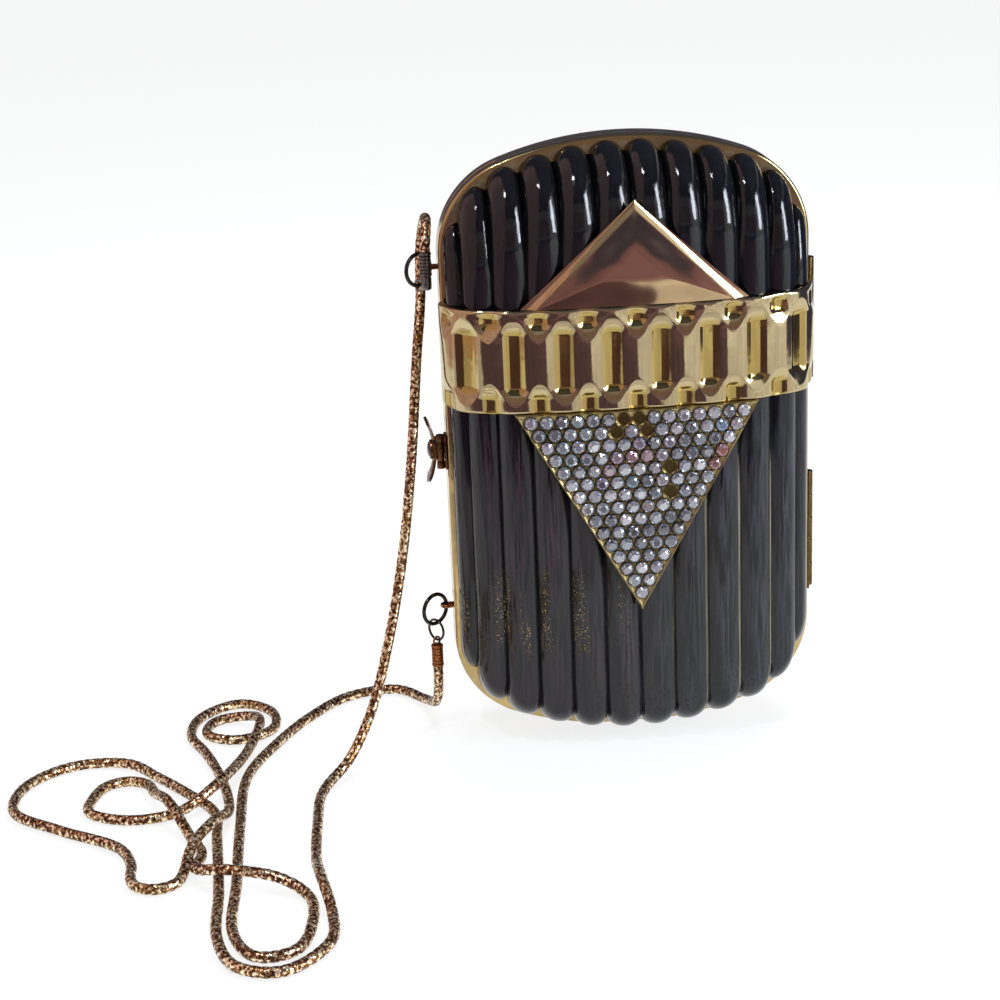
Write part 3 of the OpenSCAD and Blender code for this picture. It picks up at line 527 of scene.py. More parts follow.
def outline_z(c, x, inset):
    """Height of the outline, drawn in by inset, above the middle of the case at x."""
    end_r = c.size.end_radius - inset
    corner_r = c.size.corner_radius - inset
    across = min(abs(x), c.half_w - inset)
    if across <= end_r * math.cos(c.meet):
        return c.end_cz + math.sqrt(end_r**2 - across**2)
    return c.corner_z + math.sqrt(max(0.0, corner_r**2 - (across - c.corner_x) ** 2))


class Crown:
    """The cross-section of a shell: a superellipse measured along its curve from the middle."""

    steps = 1440
    probe = 0.25 * MM

    def __init__(self, half_width, rise, power):
        self.points = []
        for i in range(self.steps + 1):
            t = math.pi * i / self.steps
            x = half_width * math.copysign(abs(math.cos(t)) ** (2 / power), math.cos(t))
            self.points.append((x, rise * abs(math.sin(t)) ** (2 / power)))
        self.reach = [0.0]
        for a, b in zip(self.points, self.points[1:]):
            self.reach.append(self.reach[-1] + math.dist(a, b))
        self.total = self.reach[-1]
        self.across = [-x for x, _h in self.points]

    def place(self, s):
        """Point on the curve at the distance s from the middle, to the right."""
        along = min(max(self.total / 2 - s, 0.0), self.total)
        k = min(max(bisect.bisect_right(self.reach, along) - 1, 0), self.steps - 1)
        share = (along - self.reach[k]) / max(self.reach[k + 1] - self.reach[k], 1e-12)
        a, b = self.points[k], self.points[k + 1]
        return a[0] + (b[0] - a[0]) * share, a[1] + (b[1] - a[1]) * share

    def outward(self, s):
        """Unit direction away from the curve at s."""
        x0, h0 = self.place(s - self.probe)
        x1, h1 = self.place(s + self.probe)
        size = math.hypot(x1 - x0, h1 - h0)
        return (h0 - h1) / size, (x1 - x0) / size

    def lifted(self, s, off):
        """Point at s, moved outward by off."""
        x, h = self.place(s)
        nx, nh = self.outward(s)
        return x + nx * off, h + nh * off

    def s_at(self, x):
        """Distance along the curve of the point at x."""
        k = min(max(bisect.bisect_right(self.across, -x) - 1, 0), self.steps - 1)
        share = (-x - self.across[k]) / max(self.across[k + 1] - self.across[k], 1e-12)
        return self.total / 2 - self.reach[k] - (self.reach[k + 1] - self.reach[k]) * share


def crown(c):
    """The shell's cross-section."""
    return Crown(c.shell_a, c.size.shell_rise, c.size.crown_power)


def piece(name, shape, finish, body, replaces, sharp=35.0):
    """A mesh piece that rides on a body in place of CAD nodes, shaded smooth up to the sharp angle."""
    mesh = bpy.data.meshes.new(name)
    mesh.from_pydata([tuple(v) for v in shape.verts], [], shape.faces)
    mesh.materials.append(finish)
    work = bmesh.new()
    work.from_mesh(mesh)
    bmesh.ops.remove_doubles(work, verts=work.verts, dist=0.0005 * MM)
    bmesh.ops.recalc_face_normals(work, faces=work.faces)
    work.to_mesh(mesh)
    work.free()
    mesh.polygons.foreach_set("use_smooth", [True] * len(mesh.polygons))
    mesh.set_sharp_from_angle(angle=math.radians(sharp))
    obj = bpy.data.objects.new(name, mesh)
    bpy.context.scene.collection.objects.link(obj)
    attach(obj, body)
    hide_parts(*replaces)
    return obj


class Shape:
    """Vertices and faces of a piece, gathered part by part."""

    def __init__(self):
        self.verts = []
        self.faces = []

    def take(self, verts, faces):
        """Adds vertices and the faces between them."""
        start_at = len(self.verts)
        self.verts.extend(Vector(v) for v in verts)
        self.faces.extend([i + start_at for i in face] for face in faces)

    def grid(self, rows, wrap_rows=False, wrap_columns=False):
        """Adds a grid of points, each row as long as the others."""
        n, m = len(rows), len(rows[0])
        faces = []
        for i in range(n if wrap_rows else n - 1):
            for j in range(m if wrap_columns else m - 1):
                i1, j1 = (i + 1) % n, (j + 1) % m
                faces.append([i * m + j, i1 * m + j, i1 * m + j1, i * m + j1])
        self.take([p for row in rows for p in row], faces)

    def dish(self, outer, inner):
        """Adds a closed solid between two grids of the same size, joined round their edges."""
        n, m = len(outer), len(outer[0])
        skin = [[i * m + j, (i + 1) * m + j, (i + 1) * m + j + 1, i * m + j + 1]
                for i in range(n - 1) for j in range(m - 1)]
        edge = [i * m for i in range(n)] + [(n - 1) * m + j for j in range(1, m)]
        edge += [i * m + m - 1 for i in range(n - 2, -1, -1)] + [j for j in range(m - 2, 0, -1)]
        back = n * m
        rim = [[a, b, b + back, a + back] for a, b in zip(edge, edge[1:] + edge[:1])]
        under = [[i + back for i in reversed(face)] for face in skin]
        self.take([p for row in outer for p in row] + [p for row in inner for p in row], skin + under + rim)

    def lathe(self, profile, matrix, sides=48):
        """Adds a turned solid. The profile is (radius, height) pairs, closed at both ends."""
        rings = []
        for radius, height in profile:
            turns = (math.tau * k / sides for k in range(sides))
            ring = [(radius * math.cos(a), radius * math.sin(a), height) for a in turns]
            rings.append([matrix @ Vector(point) for point in ring])
        self.grid(rings, wrap_columns=True)
        last = len(self.verts) - sides
        first = len(self.verts) - sides * len(profile)
        self.faces.append([first + k for k in range(sides)])
        self.faces.append([last + k for k in range(sides)])

    def ring(self, profile, matrix, sides=64):
        """Adds a turned ring. The profile is a closed loop of (radius, height) pairs."""
        rows = []
        for k in range(sides):
            a = math.tau * k / sides
            rows.append([matrix @ Vector((r * math.cos(a), r * math.sin(a), h)) for r, h in profile])
        self.grid(rows, wrap_rows=True, wrap_columns=True)

    def slab(self, corners, thickness, bevel, matrix, segments=3):
        """Adds a plate of a given outline, rounded along its edges."""
        work = bmesh.new()
        floor_verts = [work.verts.new((x, y, 0.0)) for x, y in corners]
        face = work.faces.new(floor_verts)
        made = bmesh.ops.extrude_face_region(work, geom=[face])
        top = [v for v in made["geom"] if isinstance(v, bmesh.types.BMVert)]
        bmesh.ops.translate(work, verts=top, vec=(0.0, 0.0, thickness))
        if bevel > 0:
            bmesh.ops.bevel(work, geom=work.edges[:], offset=bevel, segments=segments, affect="EDGES",
                            profile=0.5, clamp_overlap=True)
        work.verts.index_update()
        self.take([matrix @ v.co for v in work.verts], [[v.index for v in f.verts] for f in work.faces])
        work.free()


def rounded(corners, radius, steps=4):
    """A closed outline with each of its corners rounded by up to radius."""
    points = []
    for i, here in enumerate(corners):
        before, after = Vector(corners[i - 1]), Vector(corners[(i + 1) % len(corners)])
        here = Vector(here)
        reach = min(radius, (before - here).length * 0.45, (after - here).length * 0.45)
        a = here + (before - here).normalized() * reach
        b = here + (after - here).normalized() * reach
        for k in range(steps + 1):
            t = k / steps
            points.append(tuple(a * (1 - t) ** 2 + here * 2 * t * (1 - t) + b * t**2))
    return points


def circle_profile(radius, wire, sides=20):
    """The loop of a round wire bent to a circle of that radius."""
    turns = (math.tau * k / sides for k in range(sides))
    return [(radius + wire / 2 * math.cos(a), wire / 2 * math.sin(a)) for a in turns]


def pin_profile(radius, height, bevel, steps=3):
    """A rod's profile from z 0 to height with rounded ends."""
    turns = [math.pi / 2 * k / steps for k in range(steps + 1)]
    low = [(radius - bevel + bevel * math.sin(a), bevel - bevel * math.cos(a)) for a in turns]
    return low + [(r, height - h) for r, h in reversed(low)]


SIDES = {"back": 1.0, "front": -1.0}


def frame_samples(c):
    """The outline as arc middles, radii and angles, anticlockwise from the lower right corner's end."""
    r, end_r = c.size.corner_radius, c.size.end_radius
    side_steps, corner_steps, end_steps = 60, 22, 44
    corner = [c.meet * k / corner_steps for k in range(corner_steps)]
    top = [c.meet + (math.pi - 2 * c.meet) * k / end_steps for k in range(end_steps)]
    rows = [(c.corner_x, -c.corner_z + 2 * c.corner_z * k / side_steps, r, 0.0) for k in range(side_steps)]
    rows += [(c.corner_x, c.corner_z, r, a) for a in corner]
    rows += [(0.0, c.end_cz, end_r, a) for a in top]
    rows += [(-c.corner_x, c.corner_z, r, math.pi - c.meet + a) for a in corner]
    half = [(-x, -z, radius, a + math.pi) for x, z, radius, a in rows]
    return rows + half


def frame_profile(c):
    """A frame's L-shaped section: inset from the outline, and depth from the parting plane."""
    s = c.size
    edge, lip, flange_w = s.rim_round, 0.3 * MM, s.gold_margin + c.hollow
    gap, depth = c.half_gap, c.frame_d
    wall_steps, edge_steps, back_steps = 10, 8, 4
    wall = [(0.0, gap + lip + (depth - edge - gap - lip) * k / wall_steps) for k in range(wall_steps + 1)]
    turn = [(edge - edge * math.cos(a), depth - edge + edge * math.sin(a))
            for a in (math.pi / 2 * k / edge_steps for k in range(1, edge_steps + 1))]
    inner = [(flange_w, depth), (flange_w, depth - s.flange), (s.frame_wall, depth - s.flange),
             (s.frame_wall, gap + lip), (s.frame_wall - lip / 2, gap)]
    back = [(s.frame_wall - lip / 2 - (s.frame_wall - lip * 1.2) * k / back_steps, gap)
            for k in range(1, back_steps + 1)]
    return wall + turn + inner + back


# room round a hinge's knuckles
HINGE_ROOM = 0.3 * MM


def hinge_facts():
    """The hinges' axis, their knuckles' radius, and the heights that each hinge takes up."""
    barrel = -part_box("hinge_leaf_back_upper")[0][1]
    reaches = []
    for level in ("upper", "lower"):
        bottom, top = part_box(f"hinge_pin_{level}")
        reaches.append((bottom[2] - HINGE_ROOM, top[2] + HINGE_ROOM))
    pin_low, pin_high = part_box("hinge_pin_upper")
    return (pin_low[0] + pin_high[0]) / 2, barrel, reaches


def build_frame(side):
    """One frame: a wall and flange swept round the outline, flat at the foot and hollowed at the hinges."""
    c = case()
    axis_x, barrel, reaches = hinge_facts()
    room = barrel + HINGE_ROOM
    rows = []
    for cx, cz, radius, angle in frame_samples(c):
        row = []
        for inset, y in frame_profile(c):
            x = cx + (radius - inset) * math.cos(angle)
            z = max(0.0, c.mid_z + cz + (radius - inset) * math.sin(angle))
            away = math.hypot(x - axis_x, y)
            if away < room and any(low <= z <= high for low, high in reaches):
                x = axis_x + (x - axis_x) * room / away
                y = y * room / away
            row.append((x, y * SIDES[side], z))
        rows.append(row)
    shape = Shape()
    shape.grid(rows, wrap_rows=True, wrap_columns=True)
    piece(f"{side}_frame_gold", shape, gold_plate(), f"{side}_half",
          [f"{side}_frame"], sharp=30.0)


# samples across a flute, round an end, and along the middle of a shell
FLUTE_STEPS = 16
END_STEPS = 14
MIDDLE_STEPS = 24
# where the painted highlight on the flutes' right edges reaches its full paleness: as a share of the curve
# right of the middle, and below the middle of the case
GLINT_SHARE = 0.3
GLINT_DEPTH = 10 * MM


def end_column(x, h, top, top_r, low, low_r):
    """Points down one column of a shell: over the upper end, along, and under the lower end."""
    turns = [math.pi / 2 * (1 - k / END_STEPS) for k in range(END_STEPS + 1)]
    upper = [(x, h * math.cos(a), top - top_r * (1 - math.sin(a))) for a in turns]
    lower = [(x, h * math.cos(a), low_r * (1 - math.sin(a)) - low) for a in reversed(turns)]
    first, last = upper[-1][2], lower[0][2]
    between = [(x, h, first + (last - first) * k / MIDDLE_STEPS) for k in range(1, MIDDLE_STEPS)]
    return upper + between + lower


def flute_column(c, curve, s, u, full):
    """One column of a fluted shell at distance s, where u runs from -1 to 1 across its flute."""
    size = c.size
    width = curve.total / size.flutes
    back = ((width / 2) ** 2 + size.groove**2) / (2 * size.groove)
    drop = back - math.sqrt(max(0.0, back**2 - (u * width / 2) ** 2))
    x0, h0 = curve.place(s)
    nx, nh = curve.outward(s)
    x, h = x0 - nx * drop, max(0.0, h0 - nh * drop) * full
    end = outline_z(c, x0, size.gold_margin)
    off = 1 - math.sqrt(max(0.0, 1 - u * u))
    return end_column(x, h, end - size.tip_inset - size.tip_drop * off, size.end_round,
                      end - size.foot_inset - size.foot_drop * off, size.foot_round)


def smooth_column(c, curve, s, inset, full):
    """One column of a smooth form inside the shell, drawn in by inset."""
    size = c.size
    x, h = curve.place(s)
    x *= 1 - inset / c.shell_a
    h *= (1 - inset / size.shell_rise) * full
    end = outline_z(c, x, size.gold_margin) - inset
    return end_column(x, h, end - size.tip_inset - size.tip_drop / 2, size.end_round - size.groove,
                      end - size.foot_inset - size.foot_drop / 2, size.foot_round - size.groove)


def on_side(c, side, columns):
    """Columns about the middle of the case, set on the face of the back or front frame."""
    return [[(x, SIDES[side] * (c.frame_d + h), c.mid_z + z) for x, h, z in column] for column in columns]


def note_share(obj, name, shares):
    """Keeps a share from 0 to 1 with each point, for its material to read. The points past the list get 0."""
    layer = obj.data.attributes.new(name, "FLOAT", "POINT")
    layer.data.foreach_set("value", shares + [0.0] * (len(obj.data.vertices) - len(shares)))


def build_shell(side):
    """One fluted shell with round-ended flutes and a smooth hollow inside."""
    c = case()
    curve = crown(c)
    n = c.size.flutes * FLUTE_STEPS
    outer, inner, worn, across = [], [], [], []
    for i in range(n + 1):
        s = curve.total * (i / n - 0.5)
        k = i % FLUTE_STEPS
        u = 1.0 if k == 0 else 2 * k / FLUTE_STEPS - 1
        full = 0.0 if i in (0, n) else 1.0
        outer.append(flute_column(c, curve, s, u, full))
        inner.append(smooth_column(c, curve, s, c.hollow, full))
        # painted highlight: the flutes right of the middle are painted pale along their right edges, low on
        # the case
        rubbed = ease(s / (curve.total * GLINT_SHARE)) if k == FLUTE_STEPS - 1 else 0.0
        worn += [rubbed * ease(-z / GLINT_DEPTH) for _x, _h, z in outer[-1]]
        # how far across its flute each point lies, for the painted shade toward the grooves
        across += [abs(u)] * len(outer[-1])
    shape = Shape()
    shape.dish(on_side(c, side, outer), on_side(c, side, inner))
    obj = piece(f"{side}_shell_gloss", shape, black_gloss(), f"{side}_half",
                [f"{side}_shell"], sharp=50.0)
    note_share(obj, "worn", worn)
    note_share(obj, "across", across)


def build_lining(side):
    """One lining: a thin dish of cloth-covered card inside the shell."""
    c = case()
    curve = crown(c)
    steps = 72
    out = c.hollow + c.size.lining_gap
    outer, inner = [], []
    for i in range(steps + 1):
        s = curve.total * (i / steps - 0.5)
        full = 0.0 if i in (0, steps) else 1.0
        outer.append(smooth_column(c, curve, s, out, full))
        inner.append(smooth_column(c, curve, s, out + c.size.lining, full))
    shape = Shape()
    shape.dish(on_side(c, side, outer), on_side(c, side, inner))
    piece(f"{side}_lining_cloth", shape, lining_cloth(), f"{side}_half",
          [f"{side}_lining"])


def band_facts():
    """Heights of the band's lower and upper edges."""
    low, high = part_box("gold_band")
    return low[2], high[2]


def past_box(x, z, half_x, half_z, corner):
    """Distance from a rounded rectangle's edge, less than nothing inside it."""
    dx, dz = abs(x) - half_x + corner, abs(z) - half_z + corner
    return math.hypot(max(dx, 0), max(dz, 0)) + min(max(dx, dz), 0) - corner


# width of a notch as a share of a pocket's, and shares of the band's height at a pocket's edge and at its own
NOTCH_SHARE = 0.9
WALL_SHARE = 0.55
EDGE_SHARE = 0.25
# how hollow a pocket's floor and walls are: 1 is a straight slope
HOLLOW_POWER = 1.4
# samples along the band and across it
BAND_COLUMNS = 480
BAND_LEVELS = 120
# gap between the crowns of the flutes and the plates that lie on them
PLATE_GAP = 0.05 * MM


def pocket_edge(s, z, height):
    """Distance from the nearest pocket or notch, less than nothing inside it, and how far across it s is."""
    o = ornament()
    k = min(max(round(s / o.link_pitch + (o.links - 1) / 2), 0), o.links - 1)
    across = s - (k - (o.links - 1) / 2) * o.link_pitch
    edge = past_box(across, z - height / 2, o.pocket_w / 2, o.pocket_h / 2, o.pocket_corner)
    j = round(s / o.link_pitch + o.links / 2)
    between = s - (j - o.links / 2) * o.link_pitch
    notch_h = (height - o.pocket_h) / 2
    for low, high in ((-o.notch_over, notch_h), (height - notch_h, height - o.ledge)):
        middle, half = (low + high) / 2, (high - low) / 2
        notch = past_box(between, z - middle, o.pocket_w * NOTCH_SHARE / 2, half, o.pocket_corner)
        if notch < edge:
            edge, across = notch, between
    return edge, across


def band_relief(s, z, height):
    """How proud the stamped band is at s round the front and z above its lower edge."""
    o = ornament()
    edge, across = pocket_edge(s, z, height)
    crease = o.crease * min(abs(across) / (o.pocket_w / 2), 1.0) ** HOLLOW_POWER
    floor_at = o.pocket_floor + crease
    top = o.band_t + o.link_swell
    wall_at = floor_at + (top - floor_at) * WALL_SHARE
    if edge < 0:
        lift = floor_at + (wall_at - floor_at) * max(0.0, 1 + edge / o.pocket_wall) ** HOLLOW_POWER
    else:
        turn = min(edge / o.link_round, 1.0)
        lift = wall_at + (top - wall_at) * (1 - (1 - turn) ** 2)
    round_off = min(z, height - z) / o.band_round
    if round_off < 1:
        lift *= EDGE_SHARE + (1 - EDGE_SHARE) * math.sqrt(max(0.0, 1 - (1 - round_off) ** 2))
    return lift


def build_band():
    """The stamped gold band: tall pockets between short notches, in one relief round the front."""
    c = case()
    o = ornament()
    curve = crown(c)
    z0, z1 = band_facts()
    height = z1 - z0
    outer, inner, worn = [], [], []
    for i in range(BAND_COLUMNS + 1):
        s = curve.total * (i / BAND_COLUMNS - 0.5)
        front, back = [], []
        for j in range(BAND_LEVELS + 1):
            z = height * j / BAND_LEVELS
            x, h = curve.lifted(s, PLATE_GAP + band_relief(s, z, height))
            front.append((x, -c.frame_d - max(h, 0.0), z0 + z))
            # the worn share falls to 0 in the pockets, where their deeper yellow is painted reflection and
            # shade
            worn.append(ease(pocket_edge(s, z, height)[0] / o.pocket_wall + 0.5))
        for z in (z0, z1):
            x, h = curve.lifted(s, PLATE_GAP)
            back.append((x, -c.frame_d - max(h, 0.0), z))
        outer.append(front)
        inner.append(back)
    shape = Shape()
    shape.grid(outer)
    start_at = len(shape.verts)
    shape.grid(inner)
    m = BAND_LEVELS + 1
    for i in range(BAND_COLUMNS):
        a, b = start_at + i * 2, start_at + i * 2 + 2
        shape.faces.append([i * m, (i + 1) * m, b, a])
        shape.faces.append([(i + 1) * m - 1, (i + 2) * m - 1, b + 1, a + 1])
    for i in (0, BAND_COLUMNS):
        shape.faces.append([i * m + j for j in range(m)] + [start_at + i * 2 + 1, start_at + i * 2])
    obj = piece("gold_band_stamped", shape, stamped_gold(), "front_half",
                ["gold_band"], sharp=60.0)
    note_share(obj, "worn", worn)


def triangle_grid(c, curve, wide, z_base, z_tip, rows, columns, lift):
    """Outer and inner grids of a triangle that follows the crowns. lift(x, z) gives its height there."""
    outer, inner = [], []
    tip_w = 0.5 * MM
    for j in range(rows + 1):
        z = z_base + (z_tip - z_base) * j / rows
        w = max(tip_w, wide * (1 - j / rows))
        front, back = [], []
        for i in range(columns + 1):
            x = w * (i / columns - 0.5)
            s = curve.s_at(x)
            fx, fh = curve.lifted(s, PLATE_GAP + lift(x, z))
            bx, bh = curve.lifted(s, PLATE_GAP)
            front.append((fx, -c.frame_d - fh, z))
            back.append((bx, -c.frame_d - bh, z))
        outer.append(front)
        inner.append(back)
    return outer, inner


def edge_distance(x, z, wide, z_base, z_tip):
    """Distance from the nearest edge of an upright triangle at x and z."""
    tall = abs(z_tip - z_base)
    slope = math.hypot(tall, wide / 2)
    side = ((wide / 2) * (1 - abs(z - z_base) / tall) - abs(x)) * tall / slope
    return min(side, abs(z - z_base))


# shares of the upper triangle's thickness at its edge, over its bevel and in its pillow, and the
# pillow's reach as a share of its width
CREST_EDGE = 0.3
CREST_BEVEL = 0.5
CREST_PILLOW = 0.2
PILLOW_REACH = 0.16


def build_crest():
    """The upper triangle: a smooth pillowed plate with a bevelled edge."""
    c = case()
    curve = crown(c)
    low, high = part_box("crest_plate")
    wide = high[0] - low[0]
    o = ornament()

    def lift(x, z):
        away = max(0.0, edge_distance(x, z, wide, low[2] - o.plate_bevel, high[2]))
        bevel = min(1.0, away / o.plate_bevel) ** 0.8
        pillow = ease(away / (wide * PILLOW_REACH))
        return o.plate_t * (CREST_EDGE + CREST_BEVEL * bevel + CREST_PILLOW * pillow)

    rows, columns = 90, 130
    shape = Shape()
    shape.dish(*triangle_grid(c, curve, wide, low[2], high[2], rows, columns, lift))
    piece("crest_triangle_polished", shape, crest_gold(), "front_half",
          ["crest_plate"], sharp=30.0)


def seats():
    """Each stone's row, place, and x and z in the lower triangle."""
    o = ornament()
    band_low = band_facts()[0]
    first_z = band_low - o.tray_rim - o.stone_d / 2
    for row in range(o.stone_rows):
        for k in range(o.stone_rows - row):
            x = (k - (o.stone_rows - row - 1) / 2) * o.stone_pitch
            yield row, k, x, first_z - row * o.stone_pitch * math.sqrt(3) / 2


# how much of the gold between the stones is darkened by grime and painted shade
SHADE_AND_GRIME_SHARE = 0.65
# rows and places of the seats that have lost their stones
LOST = {(0, 6), (0, 7), (1, 5), (1, 7), (4, 7), (6, 6)}
# stones whose coating has turned, by row and place
TINTED = {(3, 4): "#c78fa6", (3, 5): "#cf8f9d", (3, 6): "#c98a80", (3, 11): "#d8574a", (4, 3): "#cf9fa8",
          (4, 10): "#dc8a74", (5, 4): "#8fc4c4", (2, 6): "#c9b3d6", (2, 8): "#c3b0cf", (7, 4): "#b9a09c",
          (5, 2): "#b8a8cc", (1, 12): "#8fb4dc"}
# tones of the other stones, and of the facets' painted reflections, and how common each is
STONE_TONES = {"#ffffff": 6, "#dfe3ea": 6, "#c6cad4": 5, "#ded4e0": 2, "#e2cfd4": 1, "#cddedd": 1,
               "#85888f": 5, "#55575c": 3}
# the rings of points round a cut stone, from its foot to its table: shares of its radius and of its
# height, points round it, and its turn in steps
STONE_RINGS = ((0.97, 0.0, 16, 0.0), (1.0, 0.38, 16, 0.0), (0.8, 0.76, 8, 0.5), (0.54, 1.0, 8, 0.0))
# spreads of the tilt of a stone's axis, along X and Z and along Y, and the room for glue under a stone
STONE_LEAN = 0.06
STONE_NOD = 0.03
STONE_GLUE = 0.1 * MM


def build_tray():
    """The lower triangle: a dull gold tray with a raised border and a round seat for each stone."""
    c = case()
    curve = crown(c)
    o = ornament()
    low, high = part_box("pave_tray")
    wide = high[0] - low[0]
    # the rim stands a step above the field, slopes to it near its inner edge and is rounded over outside, and
    # the grime with painted shade begins a little way inside it
    step, slope, fringe = 0.35 * MM, 0.3 * MM, 0.6 * MM
    slope_at, shade_and_grime_at, over = o.tray_rim * 0.75, o.stone_d * 0.4, 1.3
    # seats are looked up by their level, half a pitch high
    level_h = o.stone_pitch / 2
    places = {}
    for _row, _k, x, z in seats():
        places.setdefault(round((z - low[2]) / level_h), []).append((x, z))
    worn = []

    def lift(x, z):
        away = edge_distance(x, z, wide, high[2], low[2])
        top = o.plate_t + step * (1 - ease((away - slope_at) / slope))
        top -= step * over * (1 - ease(away / step))
        level = round((z - low[2]) / level_h)
        near = min((math.dist((x, z), p) for k in (level - 1, level, level + 1) for p in places.get(k, ())),
                   default=wide)
        out_of_seat = ease((near - o.stone_d / 2 + slope / 3) / slope)
        inside = ease((away - shade_and_grime_at) / fringe)
        # the seats and the field take grime and painted shade, and the rim stays bright
        worn.append(out_of_seat * (1 - SHADE_AND_GRIME_SHARE * inside))
        return top - o.seat_d * (1 - out_of_seat)

    rows, columns = 190, 190
    shape = Shape()
    shape.dish(*triangle_grid(c, curve, wide, high[2], low[2], rows, columns, lift))
    obj = piece("stone_tray_dull", shape, dull_gold(), "front_half",
                ["pave_tray"], sharp=50.0)
    note_share(obj, "worn", worn)


def cut_stone(shape, matrix, diameter, height):
    """Adds one round stone: a girdle, a ring of main facets with stars between, and an octagonal table."""
    start_at, verts = [], []
    for wide, high, count, shift in STONE_RINGS:
        start_at.append(len(verts))
        r = diameter / 2 * wide
        for k in range(count):
            a = math.tau * (k + shift) / count
            verts.append(matrix @ Vector((r * math.cos(a), r * math.sin(a), height * high)))
    base, girdle, mid, table = start_at
    round_girdle, round_table = STONE_RINGS[0][2], STONE_RINGS[-1][2]
    faces = [[base + k for k in range(round_girdle)], [table + k for k in range(round_table)]]
    for k in range(round_girdle):
        after = (k + 1) % round_girdle
        faces.append([base + k, base + after, girdle + after, girdle + k])
    for k in range(round_table):
        after = (k + 1) % round_table
        g0, g1 = girdle + 2 * k, girdle + 2 * k + 1
        g2 = girdle + (2 * k + 2) % round_girdle
        faces += [[g0, g1, mid + k], [g1, g2, mid + k], [g2, mid + after, table + after, mid + k]]
        faces.append([mid + k, table + after, table + k])
    shape.take(verts, faces)
    return len(faces)


def build_stones():
    """The set stones, each turned and tilted a little, with its own tint and a painted reflection on every
    facet.
    """
    c = case()
    curve = crown(c)
    o = ornament()
    dice = random.Random(11)
    tints = [linear(code) for code in STONE_TONES]
    weights = list(STONE_TONES.values())
    shape = Shape()
    shades = []
    for row, k, x, z in seats():
        if (row, k) in LOST:
            continue
        s = curve.s_at(x)
        fx, fh = curve.lifted(s, o.plate_t - o.seat_d + STONE_GLUE)
        nx, nh = curve.outward(s)
        out = Vector((nx, -nh, 0.0)).normalized()
        tilt = Vector((dice.gauss(0, STONE_LEAN), dice.gauss(0, STONE_NOD), dice.gauss(0, STONE_LEAN)))
        out = (out + tilt).normalized()
        right = out.cross(Vector((0, 0, 1))).normalized()
        up = right.cross(out)
        spin = Matrix.Rotation(dice.uniform(0, math.tau), 4, "Z")
        place = Matrix((right, up, out)).transposed().to_4x4()
        place.translation = Vector((fx, -c.frame_d - fh, z))
        count = cut_stone(shape, place @ spin, o.stone_d, o.stone_h)
        own = dice.choices(tints, weights)[0]
        if (row, k) in TINTED:
            own = linear(TINTED[row, k])
        # each facet's painted reflection: half its stone's tint and half a tone drawn from the same list
        for facet in dice.choices(tints, weights, k=count):
            shades.append([(a + b) / 2 for a, b in zip(own, facet)])
    obj = piece("set_stones", shape, set_stone(), "front_half", ["pave_stones"], sharp=1.0)
    mesh = obj.data
    mesh.polygons.foreach_set("use_smooth", [False] * len(mesh.polygons))
    layer = mesh.attributes.new("shade", "FLOAT_COLOR", "FACE")
    flat = [value for shade in shades for value in (*shade, 1.0)]
    if len(flat) != 4 * len(mesh.polygons):
        raise RuntimeError("the stones' facets and their tints don't match")
    layer.data.foreach_set("color", flat)


def at(x, y, z):
    """A matrix that moves a part to a point."""
    return Matrix.Translation((x, y, z))


# turns a flat outline (across, up) with its thickness along +Z to stand on a side wall, thickness along -X
ON_LEFT_SIDE = Matrix(((0, 0, -1, 0), (1, 0, 0, 0), (0, 1, 0, 0), (0, 0, 0, 1)))
ON_RIGHT_SIDE = Matrix(((0, 0, 1, 0), (1, 0, 0, 0), (0, 1, 0, 0), (0, 0, 0, 1)))


def build_hinges():
    """Both hinges: strip leaves with rolled knuckles, back and front by turns, on plain pins."""
    c = case()
    axis_x, barrel, _reaches = hinge_facts()
    knuckles, gap, soft, leaf_t = 5, 0.15 * MM, 0.16 * MM, 0.7 * MM
    # how far over its leaf a knuckle's finger lies
    finger_share = 0.8
    brass = hinge_metal()
    for level in ("upper", "lower"):
        pin_low, pin_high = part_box(f"hinge_pin_{level}")
        span = (pin_high[2] - pin_low[2]) / knuckles
        for side, turn in SIDES.items():
            leaf_low, leaf_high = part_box(f"hinge_leaf_{side}_{level}")
            far = leaf_high[1] if turn > 0 else leaf_low[1]
            shape = Shape()
            near = turn * (barrel + HINGE_ROOM)
            plate = [(near, pin_low[2]), (far, pin_low[2]), (far, pin_high[2]), (near, pin_high[2])]
            shape.slab(plate, leaf_t, soft, at(c.half_w, 0, 0) @ ON_RIGHT_SIDE)
            # the leaves share the knuckles by turns, and the back one has the outermost
            for i in range(0 if side == "back" else 1, knuckles, 2):
                z0 = pin_low[2] + i * span + gap / 2
                z1 = z0 + span - gap
                shape.lathe(pin_profile(barrel, z1 - z0, soft), at(axis_x, 0, z0), 40)
                end = far * finger_share
                finger = [(0.0, z0), (end, z0), (end, z1), (0.0, z1)]
                shape.slab(finger, leaf_t, soft, at(c.half_w, 0, 0) @ ON_RIGHT_SIDE)
            piece(f"hinge_leaf_{side}_{level}_rolled", shape, brass, f"{side}_half",
                  [f"hinge_leaf_{side}_{level}"])
        pin = Shape()
        pin_r = (pin_high[0] - pin_low[0]) / 2
        profile = pin_profile(pin_r, pin_high[2] - pin_low[2], pin_r / 2)
        pin.lathe(profile, at(axis_x, 0, pin_low[2]), 28)
        piece(f"hinge_pin_{level}_turned", pin, brass, "back_half",
              [f"hinge_pin_{level}"])


# radius of the clasp's knuckles, and the length of one of the bracket's
CLASP_BARREL = 1.1 * MM
EAR_L = 2 * MM
